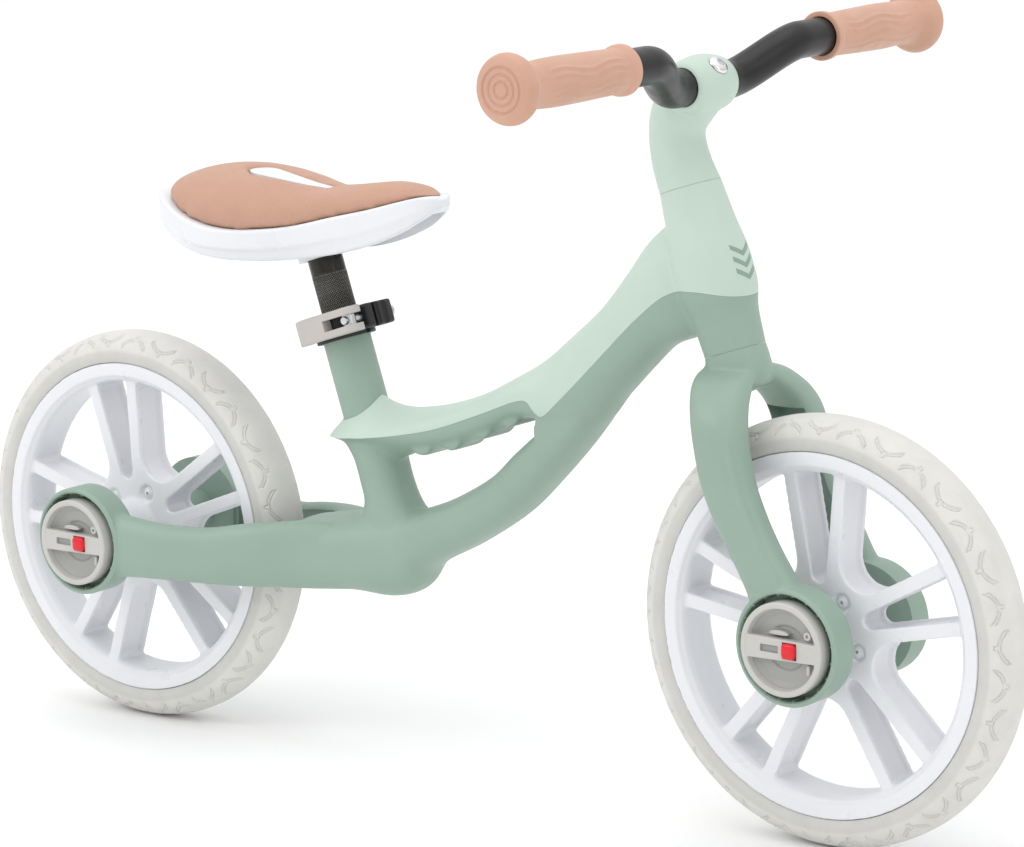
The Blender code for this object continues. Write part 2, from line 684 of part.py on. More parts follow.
def build_seat_base():
    base = loft("seat_base", saddle_rings(SEAT_BASE, base_section()), "white_plastic")
    inner = [(x, half - 3.5, low, high) for x, half, low, high in SEAT_BASE[1:-1]]
    cut(base, loft("seat_hollow", saddle_rings(inner, hollow_section())))
    join(base, loft("seat_socket", side_rings(SEAT_SOCKET, 1, SMALL_STEPS, 2.0)))
    cut(base, cylinder("socket_bore", POST_R + GAP, 40, POST_TOP + 0.5, SMALL_STEPS, None, tube_frame(SEAT_POINT, 0)))


def build_seat_pad():
    """Padded top with a teardrop opening that shows the base."""
    base = np.array(smooth_rows(SEAT_BASE, 1))
    ends = base[0, 0], base[-1, 0]
    crown = np.array(PAD_CROWN)
    rings = []
    for x, half, low, top in base:
        t = (x - ends[0]) / (ends[1] - ends[0])
        where = ends[0] + PAD_INSET + (ends[1] - ends[0] - 1.7 * PAD_INSET) * t
        under = np.interp(where, base[:, 0], base[:, 3]) + 2 * GAP
        height = np.interp(t, crown[:, 0], crown[:, 1])
        width = half - PAD_INSET * min(1, half / 12)
        rings.append([place(where, width * a, under + height * b) for a, b in pad_section()])
    pad = loft("seat_pad", rings, "seat_skin")
    cut(pad, outline("pad_slot", slot_points(), 300, 400))


def slot_points():
    """A teardrop: a big round end at the back and a small one in front."""
    back, front, big, small = SLOT
    start = back + big - WHEELBASE / 2
    end = front - small - WHEELBASE / 2
    return arc((start, 0), big, 95, 265, 9) + arc((end, 0), small, -85, 85, 5)


def build_seat_post():
    wall = 1.6
    profile = [(POST_R - wall, POST_TOP), (POST_R, POST_TOP), (POST_R, POST_BOTTOM), (POST_R - wall, POST_BOTTOM)]
    turned("seat_post", profile, SMALL_STEPS, "black_steel", tube_frame(SEAT_POINT, 0), ring=True)


# ---------------------------------------------------------------- seat clamp

def build_clamp():
    along = tube_frame(SEAT_POINT, 0)
    x, height = CLAMP_BOLT
    low, high = CLAMP_BOTTOM, CLAMP_TOP
    inner, outer = SEAT_TUBE_R + GAP, 18.8
    collar = turned("clamp_collar", [(inner, high), (outer, high), (outer, low), (inner, low)], LARGE_STEPS,
                    "black_plastic", along, ring=True)
    join(collar, box("clamp_ears", (16.5, -8.5, height - 7.5), (29, 17, height + 7.5), None, along))
    cut(collar, box("ear_gap", (10, -1.5, low - 5), (40, 1.5, high + 5), None, along))
    cut(collar, cylinder("bolt_hole_ears", 2.9, -40, 40, 12, None, clamp_bolt_frame()))
    build_lever(along, x, height)
    shank = [(0, 21.5), (2.5, 21.2), (4.2, 20), (4.8, 18.5), (4.8, 17.3), (2.5, 17.3), (2.5, -24.5), (0, -24.5)]
    turned("clamp_bolt", shank, SMALL_STEPS, "zinc_steel", clamp_bolt_frame())
    nut = cylinder("clamp_barrel_nut", 4.2, -6.4, 6.4, SMALL_STEPS, "zinc_steel", lever_pivot_frame())
    cut(nut, cylinder("nut_hole", 2.8, -40, 40, 12, None, clamp_bolt_frame()))


def clamp_bolt_frame():
    """Z runs along the clamp's bolt, to the left."""
    x, height = CLAMP_BOLT
    shift = Matrix.Translation((x * MM, 0, height * MM))
    return tube_frame(SEAT_POINT, 0) @ shift @ Matrix.Rotation(-math.pi / 2, 4, "X")


def lever_pivot_frame():
    x, height = CLAMP_BOLT
    return tube_frame(SEAT_POINT, 0) @ Matrix.Translation((x * MM, LEVER_PIVOT_Y * MM, height * MM))


def build_lever(along, x, height):
    """A curved lever on the barrel nut, forked round the bolt, that lies round the tube when closed."""
    pivot = (x, LEVER_PIVOT_Y)
    head = arc(pivot, 8.2, 118, -78, 12)
    back = arc((0, 0), 27.5, -66, -142, 9)
    tail = [(-24.5, -15.5)]
    front = arc((0, 0), 20.2, -146, -52, 11)
    points = [(px - x, py - LEVER_PIVOT_Y) for px, py in head + back + tail + front]
    half = LEVER_HALF_HEIGHT
    lever = outline("clamp_lever", points, -half, half, "lock_plastic", lever_pivot_frame())
    cut(lever, cylinder("nut_seat", 4.5, -20, 20, SMALL_STEPS, None, lever_pivot_frame()))
    cut(lever, box("fork_slot", (-2, -40, height - 3.2), (40, 0, height + 3.2), None, along))


# ---------------------------------------------------------------- joints

def axis_empty(name, frame, members, parent=None):
    """An empty on a joint's axis, which carries the pieces that move about it."""
    empty = bpy.data.objects.new(name, None)
    parts.objects.link(empty)
    empty.matrix_world = frame
    bpy.context.view_layer.update()
    if parent:
        carry(parent, empty)
    for member in members:
        carry(empty, bpy.data.objects[member])
    return empty


def carry(parent, child):
    """Parent child without moving it."""
    child.parent = parent
    child.matrix_parent_inverse = parent.matrix_world.inverted()


def hang_moving_pieces():
    steered = ["fork", "steerer_tube", "stem", "stem_bolt", "handlebar", "grip_left", "grip_right", "front_axle"]
    steering = axis_empty("steering_axis", tube_frame(HEAD_POINT, 0), steered)
    axis_empty("seat_axis", tube_frame(SEAT_POINT, 0), ["seat_base", "seat_pad", "seat_post"])
    axis_empty("lever_axis", lever_pivot_frame(), ["clamp_lever"])
    for end, x, carrier in (("front", WHEELBASE, steering), ("rear", 0, None)):
        names = ["tyre", "rim", "hub_spacer", "bearing_left", "bearing_right"]
        hub = axle_frame(x, 0, WHEEL_R)
        axis_empty(end + "_wheel_axis", hub, [f"{end}_{name}" for name in names], carrier)
        for label, side in (("right", -1), ("left", 1)):
            lock = [f"{end}_lock_disc_{label}", f"{end}_lock_button_{label}"]
            axis_empty(f"{end}_lock_axis_{label}", axle_frame(x, 0, WHEEL_R, side), lock, carrier)


# ---------------------------------------------------------------- build

build_frame()
build_shell()
build_headset()
build_fork()
build_steerer()
build_stem()
build_stem_bolt()
build_handlebar()
build_grips()
for wheel in ("front", "rear"):
    build_wheel(wheel)
    for label, side in (("right", -1), ("left", 1)):
        build_lock(wheel, label, side)
build_seat_base()
build_seat_pad()
build_seat_post()
build_clamp()

hang_moving_pieces()

for part in parts.objects:
    if part.type == "MESH":
        part.data.shade_smooth()
        part.data.set_sharp_from_angle(angle=math.radians(35))
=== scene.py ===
"""Looks of the balance bike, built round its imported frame.

Lengths are in millimetres, measured from the rear axle's spot on the ground, and turn into metres in place():
X forward, Y to the rider's left, Z up. Leaning and axle frames are as in the part's own source.
"""

from math import atan2, ceil, copysign, cos, degrees, hypot, pi, radians, sin, tan

import bmesh
import bpy
import numpy as np
from mathutils import Matrix, Vector
from mathutils.bvhtree import BVHTree


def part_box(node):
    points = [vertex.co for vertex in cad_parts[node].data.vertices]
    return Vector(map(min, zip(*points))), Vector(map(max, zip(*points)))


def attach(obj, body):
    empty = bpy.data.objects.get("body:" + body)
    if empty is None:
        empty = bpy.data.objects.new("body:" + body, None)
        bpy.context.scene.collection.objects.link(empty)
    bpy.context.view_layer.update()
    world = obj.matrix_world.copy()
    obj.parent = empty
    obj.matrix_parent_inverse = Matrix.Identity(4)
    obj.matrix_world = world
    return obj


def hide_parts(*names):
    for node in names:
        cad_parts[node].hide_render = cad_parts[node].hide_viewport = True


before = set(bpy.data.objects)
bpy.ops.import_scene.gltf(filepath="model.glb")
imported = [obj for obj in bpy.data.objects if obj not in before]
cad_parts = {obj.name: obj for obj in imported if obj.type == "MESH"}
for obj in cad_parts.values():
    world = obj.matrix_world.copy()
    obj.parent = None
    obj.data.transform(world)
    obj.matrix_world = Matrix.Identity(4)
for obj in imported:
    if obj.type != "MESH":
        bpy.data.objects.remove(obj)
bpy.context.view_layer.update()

scene = bpy.context.scene
MM = 0.001
GAP = 0.3  # round what turns or slides in a bore
SEAM = 0.15  # between two pieces that meet


def node_centre(name):
    low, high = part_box(name)
    return (low + high) / 2


REAR = node_centre("rear_axle")
FRONT = node_centre("front_axle")
WHEELBASE = (FRONT.x - REAR.x) / MM
WHEEL_R = REAR.z / MM

# ---- sizes shared with the frame

TUBE_TILT = radians(18.0)
HEAD_POINT = (467.5, 285.0)
HEAD_LENGTH = 98.0
HEAD_BORE_R = 14.3
STEERER_R = 11.0
SEAT_POINT = (174.0, 264.0)
SEAT_TUBE_R = 15.0
POST_R = 11.1
BAR_R = 11.1
BAR_AXIS = (446.0, 438.0)
GRIP_AXIS = (462.0, 457.0)
GRIP_INNER_Y = 98.0
GRIP_OUTER_Y = 207.0
TYRE_HALF_WIDTH = 17.5
RIM_R = 107.6
SPOKE_PAIRS = 5
SPOKE_PHASE = {"front": 20.4, "rear": 28.5}
HUB_HALF_WIDTH = 29.0
BEARING_R = 11.0
BEARING_WIDTH = 7.0
AXLE_R = 4.0
DROPOUT_R = 34.6
DROPOUT_FACE_Y = {"front": 49.5, "rear": 67.5}
DROPOUT_DEPTH = 18.5
DISC_R = 27.6
DISC_THICKNESS = 10.0
DISC_RECESS_R = 31.2
DISC_RECESS_DEPTH = 5.5
BUTTON_X = 6.0
BUTTON_HALF = 4.6
CLAMP_BOTTOM = 0.6
CLAMP_TOP = 17.8
CLAMP_BOLT = (22.5, 10.5)
LEVER_PIVOT_Y = -19.0
LEVER_HALF_HEIGHT = 8.0

# Side-view stations of the beams: top x, top z, bottom x, bottom z, half width. The deck's rows go on
# with where its edge lies, from bottom to top, and the powers of the sections above and below the edge.
DECK = [
    (165.5, 207, 166, 201.6, 6, 0.5, 2.2, 2.0), (168.5, 210.5, 169, 200.3, 13, 0.45, 1.5, 1.2),
    (173.5, 217, 174, 197.8, 18.5, 0.4, 1.2, 0.95), (180, 226, 181, 194, 21.8, 0.37, 1.15, 0.85),
    (189, 232.4, 190, 189.5, 23.5, 0.41, 1.2, 0.85), (200, 232.6, 203, 188.5, 23.7, 0.45, 1.25, 0.9),
    (207, 230, 210, 190.5, 23.3, 0.48, 1.2, 1.0), (216, 227.6, 219, 194.5, 22.3, 0.49, 1.35, 1.2),
    (230, 227.2, 234, 200, 21, 0.5, 1.6, 1.7), (256, 232, 262, 206, 19.8, 0.53, 2.0, 2.1),
    (286, 242, 292, 218, 19.5, 0.54, 2.4, 2.4), (312, 255, 321, 231, 20, 0.5, 2.5, 2.5),
    (334, 268, 364, 227, 20, 0.5, 2.5, 2.5), (358, 287, 388, 250, 20.5, 0.5, 2.5, 2.5),
    (379, 305, 405, 267, 21, 0.5, 2.5, 2.5), (397, 326, 423, 283, 21, 0.5, 2.5, 2.5),
    (413, 347, 443, 291, 19, 0.5, 2.5, 2.5), (432, 362, 457, 298, 15, 0.5, 2.5, 2.5),
]
DECK_EDGE_ROWS = 10
DOWN_TUBE = [
    (142, 149, 142, 108, 35), (165, 153, 165, 107, 31), (190, 158, 190, 107, 27), (210, 160, 213, 106.6, 24),
    (225, 162, 230, 112.5, 21.8), (237, 165, 243, 129, 20.5), (262, 175, 277, 147, 19.5),
    (292, 192, 311, 169, 19.5), (311, 209, 336, 192, 19.5), (333, 227, 358, 215, 19),
    (350, 240, 374, 234, 18),
]
YOKE_POCKET = [(136, 146, 136, 112, 24), (160, 149, 160, 112, 22), (176, 146, 176, 116, 14)]
STEM_NECK = [
    (420.0, 372.8, 454.2, 383.9, 18), (414.5, 389, 448, 396, 16.6), (412, 407, 444.5, 409, 16),
    (414, 424, 450, 417, 16.5), (421, 438, 458, 426, 15), (430, 447, 460, 433, 11),
]
SEAT_SOCKET = [(172.8, 319.3, 142.4, 309.5, 16), (167, 338.0, 133, 337.6, 17)]

# Cross sections of the strut, a stay and a fork leg: place along, centre, centre y, half size and half
# thickness. The stay's last row is buried in the yoke.
STRUT = [
    (203, 194, 0, 19, 18), (192, 199, 0, 16.8, 16.5), (178, 203.5, 0, 16.5, 16.5), (166, 208, 0, 18, 17),
    (156, 211, 0, 24, 19), (146, 214, 0, 30, 20),
]
STAY = [
    (14, 127, 56.5, 22, 9), (32, 126, 56, 20, 9.6), (60, 125, 52.5, 18, 10), (90, 125, 46, 18, 10),
    (115, 127, 39, 20, 10), (138, 129, 32, 21, 10), (160, 130, 23, 22, 10), (185, 130, 13, 21, 10),
]
LEG = [
    (277, 470, 5, 16, 12), (273, 471.5, 15, 17, 15), (267, 474.5, 24, 17.3, 15), (259.5, 478.5, 32, 17, 14),
    (249, 482.5, 38, 17, 12.5), (234, 486, 40.5, 17, 11.3), (216, 490.5, 41, 17.2, 11),
    (198, 498, 41, 17.2, 11), (181, 507.5, 41, 17.2, 10.8), (165, 517, 40, 18.5, 9.8),
    (150, 526, 39, 22, 8.4), (136, 532, 39, 26, 7.4),
]
LEG_HOLLOW_FROM = 4
HOLLOW_WALL = 3.6
HOLLOW_SHIFT = 4.2  # of the hollow, towards the wheel

# The line where sage meets mint, from the deck's tip to the front of the head tube
TWO_TONE = [
    (150, 203.2), (180, 205.6), (215, 210), (255, 218.5), (294, 232.5), (318, 242), (329, 243.5), (338, 235),
    (355, 248), (385, 276), (414, 303), (434, 317.5), (457, 321), (485, 318), (510, 322),
]
HOLE_END = (341.5, 226.0)
HOLE_END_R = 10.5
FINGER_BUMP_R = 9.2
FINGER_BUMPS = [(241, 208.8), (264, 214.6), (287, 224.0), (309, 234.0)]

# Turned outlines in a tube's frame: radius, height
HEAD_PROFILE = [
    (18.3, 98), (19.3, 88), (21, 72), (23.2, 58), (23.6, 46), (23.2, 34), (20.6, 25), (19.4, 18), (18.8, 8),
    (18.3, 0),
]
CROWN_PROFILE = [(18.3, 0), (18.8, -8), (18.2, -16), (15, -24)]

# Saddle stations: x, half width, low z, high z
SEAT_BASE = [
    (46.5, 18, 334, 354), (54, 37, 329.5, 353), (68, 49, 325, 349), (88, 57.5, 320, 343),
    (108, 60, 317, 338.5), (126, 56.5, 316, 336.5), (144, 47.5, 316, 336.8), (162, 37, 317.5, 339),
    (184, 28, 321, 344.5), (208, 22.5, 327.5, 350), (230, 19, 336.5, 356), (242, 15.5, 343.5, 359),
    (250, 10.5, 349, 359.6), (255, 4, 353, 358),
]
PAD_INSET = 3.0
PAD_BACK_INSET = 7.0
PAD_TOP = [
    (46, 356), (54, 360.5), (62, 365), (74, 368.8), (90, 370.2), (108, 369), (130, 365.8), (150, 363),
    (166, 361.6), (190, 364), (216, 367.6), (234, 366.8), (245, 363.5), (254, 360),
]
PAD_SLACK = 1.5
SLOT = (101.0, 168.0, 12.5, 4.0)
SLOT_SINK = 3.2
POST_TOP = 70.0
POST_BOTTOM = -85.0
KNURL_LOW = 16
KNURL_HIGH = 42
KNURL_DEPTH = 0.42


# ---- placing

def place(x, y, z):
    """A point in world metres."""
    return Vector((REAR.x + x * MM, y * MM, z * MM))


def place_all(points):
    """Many points in world metres, as an array."""
    return np.asarray(points, float) * MM + np.array((REAR.x, 0, 0))


def offset(x, y=0, z=0):
    """A move by millimetres."""
    return Matrix.Translation((x * MM, y * MM, z * MM))


def tube_frame(foot):
    """Z up a leaning tube, X forward and square to it, Y to the left. Its unit is a metre."""
    return Matrix.Translation(place(foot[0], 0, foot[1])) @ Matrix.Rotation(-TUBE_TILT, 4, "Y")


def axle_frame(x, y, z, outward=1):
    """Z points along world Y, towards the side that outward names."""
    return Matrix.Translation(place(x, y, z)) @ Matrix.Rotation(-outward * pi / 2, 4, "X")


def hub_frame(end, outward=1):
    return axle_frame(0 if end == "rear" else WHEELBASE, 0, WHEEL_R, outward)


STILL = Matrix()
HEAD_FRAME = tube_frame(HEAD_POINT)
SEAT_FRAME = tube_frame(SEAT_POINT)
BAR_FRAME = axle_frame(BAR_AXIS[0], 0, BAR_AXIS[1])
BAR_CENTRE = Matrix.Translation(place(BAR_AXIS[0], 0, BAR_AXIS[1]))

# Z points forward and up along the stem's bolt, to the left along the clamp's bolt, and up the lever's pivot.
STEM_BOLT_FRAME = BAR_CENTRE @ Matrix.Rotation(radians(45), 4, "Y")
CLAMP_BOLT_FRAME = SEAT_FRAME @ offset(CLAMP_BOLT[0], 0, CLAMP_BOLT[1]) @ Matrix.Rotation(-pi / 2, 4, "X")
LEVER_FRAME = SEAT_FRAME @ offset(CLAMP_BOLT[0], LEVER_PIVOT_Y, CLAMP_BOLT[1])


# ---- outlines and sections

def smooth_rows(rows, per_span):
    """Catmull-Rom interpolation of rows of numbers, with per_span rows for each given span."""
    rows = np.array(rows, float)
    padded = np.vstack([2 * rows[0] - rows[1], rows, 2 * rows[-1] - rows[-2]])
    result = []
    for i in range(1, len(rows)):
        a, b, c, d = padded[i - 1:i + 3]
        for t in np.arange(per_span) / per_span:
            bend = 2 * a - 5 * b + 4 * c - d
            twist = 3 * b - a - 3 * c + d
            result.append(0.5 * (2 * b + (c - a) * t + bend * t * t + twist * t ** 3))
    result.append(rows[-1])
    return np.array(result)


def squircle(count, power):
    """Unit points round a superellipse: power 2 is a circle, and more is squarer."""
    angles = np.arange(count) * 2 * pi / count
    c, s = np.cos(angles), np.sin(angles)
    return np.stack([np.sign(c) * abs(c) ** (2 / power), np.sign(s) * abs(s) ** (2 / power)], 1)


def side_rings(stations, per_span=6, count=48, power=2.5):
    """Rings of a beam on the middle plane, from (top x, top z, bottom x, bottom z, half width)."""
    rings = []
    for row in smooth_rows(stations, per_span):
        tx, tz, bx, bz, half = row[:5]
        edge, over, under = row[5:] if len(row) > 5 else (0.5, power, power)
        top, bottom = np.array((tx, 0, tz)), np.array((bx, 0, bz))
        middle = bottom + (top - bottom) * edge
        across = np.array((0, half, 0))
        upper = [middle + (top - middle) * u + across * v for u, v in squircle(count, over) if u >= -1e-9]
        lower = [middle + (middle - bottom) * u + across * v for u, v in squircle(count, under) if u < -1e-9]
        quarter = count // 4 + 1
        rings.append(place_all(upper[:quarter] + lower + upper[quarter:]))
    return rings


def level_rings(stations, side, count=48, power=2.6, upright=True):
    """Rings of a leg (upright) or a stay, from (place along, centre, centre y, half size, half thickness)."""
    rings = []
    shape = squircle(count, power)
    for where, centre, y, half, thick in smooth_rows(stations, 6):
        size = centre + shape[:, 0] * half
        across = side * (y + shape[:, 1] * thick)
        along = np.full(count, where)
        parts = (size, across, along) if upright else (along, across, size)
        rings.append(place_all(np.stack(parts, 1)))
    return rings


def arc(centre, radius, start, end, count):
    """Points on an arc, with angles in degrees."""
    angles = np.radians(np.linspace(start, end, count))
    return [(centre[0] + radius * cos(a), centre[1] + radius * sin(a)) for a in angles]


def eased(points, cut, closed=False, count=5):
    """A polyline whose corners become small curves that start cut away from them."""
    points = [np.array(p, float) for p in points]
    total = len(points)
    result = [] if closed else [points[0]]
    for i in range(total) if closed else range(1, total - 1):
        before, here, after = points[i - 1], points[i], points[(i + 1) % total]
        back, on = before - here, after - here
        reach = min(cut, 0.45 * np.linalg.norm(back), 0.45 * np.linalg.norm(on))
        start = here + back / max(np.linalg.norm(back), 1e-9) * reach
        end = here + on / max(np.linalg.norm(on), 1e-9) * reach
        for t in np.linspace(0, 1, count):
            result.append((1 - t) ** 2 * start + 2 * t * (1 - t) * here + t * t * end)
    if not closed:
        result.append(points[-1])
    return result


def spaced(points, spacing):
    """A polyline resampled so that no step is longer than spacing."""
    points = np.array(points, float)
    result = [points[0]]
    for a, b in zip(points, points[1:]):
        steps = max(1, ceil(np.linalg.norm(b - a) / spacing))
        for i in range(1, steps + 1):
            result.append(a + (b - a) * i / steps)
    return np.array(result)


# ---- solids

def linked(name, data):
    """A new object in the scene."""
    made = bpy.data.objects.new(name, data)
    scene.collection.objects.link(made)
    return made


def new_object(name, points, faces):
    data = bpy.data.meshes.new(name)
    data.from_pydata([tuple(p) for p in points], [], faces)
    return linked(name, data)


def made_of(mesh, name, place_at=STILL):
    """A new object from a bmesh, which is used up."""
    data = bpy.data.meshes.new(name)
    mesh.to_mesh(data)
    mesh.free()
    data.transform(place_at)
    return linked(name, data)


def discard(obj):
    data = obj.data
    bpy.data.objects.remove(obj)
    bpy.data.meshes.remove(data)


def tidy_mesh(obj):
    """Merge doubled points and turn the faces outwards."""
    mesh = bmesh.new()
    mesh.from_mesh(obj.data)
    bmesh.ops.remove_doubles(mesh, verts=mesh.verts, dist=1e-7)
    bmesh.ops.recalc_face_normals(mesh, faces=mesh.faces)
    mesh.to_mesh(obj.data)
    mesh.free()
    return obj


def loft(rings):
    """A closed body through rings in world metres that all have the same number of points."""
    count = len(rings[0])
    faces = [list(range(count)), [(len(rings) - 1) * count + i for i in range(count)]]
    for row in range(len(rings) - 1):
        for i in range(count):
            j = (i + 1) % count
            a, b = row * count, (row + 1) * count
            faces.append((a + i, a + j, b + j, b + i))
    return tidy_mesh(new_object("loft", np.vstack(rings), faces))


def turned(profile, place_at, steps=128, ring=False, relief=None):
    """A turned piece from (radius, height) points.

    relief(angle, radius, height) says how far the skin moves outwards, in mm.
    """
    profile = np.array(profile, float)
    if ring:
        profile = np.vstack([profile, profile[:1]])
    angles = np.arange(steps) * 2 * pi / steps
    angle = np.broadcast_to(angles[:, None], (steps, len(profile)))
    radius = np.broadcast_to(profile[:, 0], angle.shape)
    height = np.broadcast_to(profile[:, 1], angle.shape)
    if relief:
        along = np.gradient(profile, axis=0)
        along /= np.linalg.norm(along, axis=1, keepdims=True) + 1e-12
        out = np.stack([-along[:, 1], along[:, 0]], 1)
        if (out[:, 0] * profile[:, 0]).sum() < 0:
            out = -out
        move = relief(angle, radius, height)
        radius, height = radius + move * out[:, 0], height + move * out[:, 1]
    points = np.stack([radius * np.cos(angle), radius * np.sin(angle), height], -1).reshape(-1, 3) * MM
    rows = len(profile)
    faces = []
    for s in range(steps):
        a, b = s * rows, (s + 1) % steps * rows
        faces += [(a + i, b + i, b + i + 1, a + i + 1) for i in range(rows - 1)]
    made = new_object("turned", points, faces)
    made.data.transform(place_at)
    return tidy_mesh(made)


def rod(radius, low, high, place_at, steps=64):
    return turned([(0, high), (radius, high), (radius, low), (0, low)], place_at, steps)


def bevelled(mesh, edges, size):
    if size:
        bmesh.ops.bevel(mesh, geom=edges, offset=size * MM, segments=3, profile=0.5, affect="EDGES")
    return mesh


def block(low, high, place_at, bevel=0.0):
    """A block between two corners, with rounded edges."""
    mesh = bmesh.new()
    bmesh.ops.create_cube(mesh, size=1.0)
    bmesh.ops.scale(mesh, vec=[(b - a) * MM for a, b in zip(low, high)], verts=mesh.verts)
    bmesh.ops.translate(mesh, vec=[(b + a) / 2 * MM for a, b in zip(low, high)], verts=mesh.verts)
    return made_of(bevelled(mesh, mesh.edges[:], bevel), "block", place_at)


def prism(points, low, high, place_at, bevel=0.0):
    """A flat outline in mm, given some thickness along Z, with rounded rims."""
    mesh = bmesh.new()
    ring = [mesh.verts.new((p[0] * MM, p[1] * MM, low * MM)) for p in points]
    face = mesh.faces.new(ring)
    raised = bmesh.ops.extrude_face_region(mesh, geom=[face])["geom"]
    verts = [g for g in raised if isinstance(g, bmesh.types.BMVert)]
    bmesh.ops.translate(mesh, vec=(0, 0, (high - low) * MM), verts=verts)
    bmesh.ops.recalc_face_normals(mesh, faces=mesh.faces)
    rims = [e for e in mesh.edges if abs(e.verts[0].co.z - e.verts[1].co.z) < 1e-9]
    return made_of(bevelled(mesh, rims, bevel), "prism", place_at)


def sweep(path, radius, sides):
    """A round bar along a path in mm, with domed ends. radius is one number or one for each point."""
    path = np.array(path, float)
    radius = np.broadcast_to(np.asarray(radius, float), len(path))
    along = np.gradient(path, axis=0)
    along /= np.linalg.norm(along, axis=1, keepdims=True)
    guide = np.array((0, 0, 1.0)) if abs(along[:, 2]).mean() < 0.8 else np.array((1.0, 0, 0))
    first = np.cross(along, guide)
    first /= np.linalg.norm(first, axis=1, keepdims=True)
    second = np.cross(along, first)
    angles = np.arange(sides) * 2 * pi / sides
    rings = []
    for p, r, u, v in zip(path, radius, first, second):
        rings.append(place_all([p + r * (cos(a) * u + sin(a) * v) for a in angles]))
    return loft(rings)


def bake(obj):
    """Apply the object's modifiers."""
    bpy.context.view_layer.update()
    evaluated = obj.evaluated_get(bpy.context.evaluated_depsgraph_get())
    data = bpy.data.meshes.new_from_object(evaluated)
    old = obj.data
    obj.modifiers.clear()
    obj.data = data
    bpy.data.meshes.remove(old)
    return obj


def gather(solids):
    """One object that holds all these solids, which are used up."""
    mesh = bmesh.new()
    for solid in solids:
        mesh.from_mesh(solid.data)
        discard(solid)
    return made_of(mesh, "gathered")


def carve(target, operation, *others):
    """Boolean steps that use up the others."""
    for other in others:
        step = target.modifiers.new("carve", "BOOLEAN")
        step.operation = operation
        step.object = other
        step.solver = "MANIFOLD"
        bake(target)
        discard(other)
    return target


def cut(target, *others):
    return carve(target, "DIFFERENCE", *others)


def add_rounding(obj, rounds):
    smooth = obj.modifiers.new("round", "SMOOTH")
    smooth.factor = 0.5
    smooth.iterations = rounds


def mould(solids, voxel, rounds):
    """One skin over overlapping solids, with every corner rounded like a moulding's."""
    made = gather(solids)
    skin = made.modifiers.new("skin", "REMESH")
    skin.mode = "VOXEL"
    skin.voxel_size = voxel * MM
    add_rounding(made, rounds)
    return bake(made)


def copied(obj, change=STILL):
    made = linked(obj.name, obj.data.copy())
    made.data.transform(change)
    return made


def dress(obj, material, sharp):
    """Give obj its material and smooth faces, with sharp edges from an angle in degrees."""
    obj.data.materials.clear()
    obj.data.materials.append(material)
    obj.data.shade_smooth()
    obj.data.set_sharp_from_angle(angle=radians(sharp))


def keep(obj, node, body, material, sharp=35.0):
    """Make obj the finished piece that stands for a CAD node."""
    obj.name = node + "_finish"
    obj.data.name = obj.name
    dress(obj, material, sharp)
    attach(obj, body)
    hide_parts(node)
    return obj


# ---- materials

def srgb(*colour):
    """A colour from 0-255 screen values to the linear values that shaders use."""
    return tuple(((v / 255 + 0.055) / 1.055) ** 2.4 for v in colour)


def shade(colour, factor):
    return tuple(min(1.0, c * factor) for c in colour)


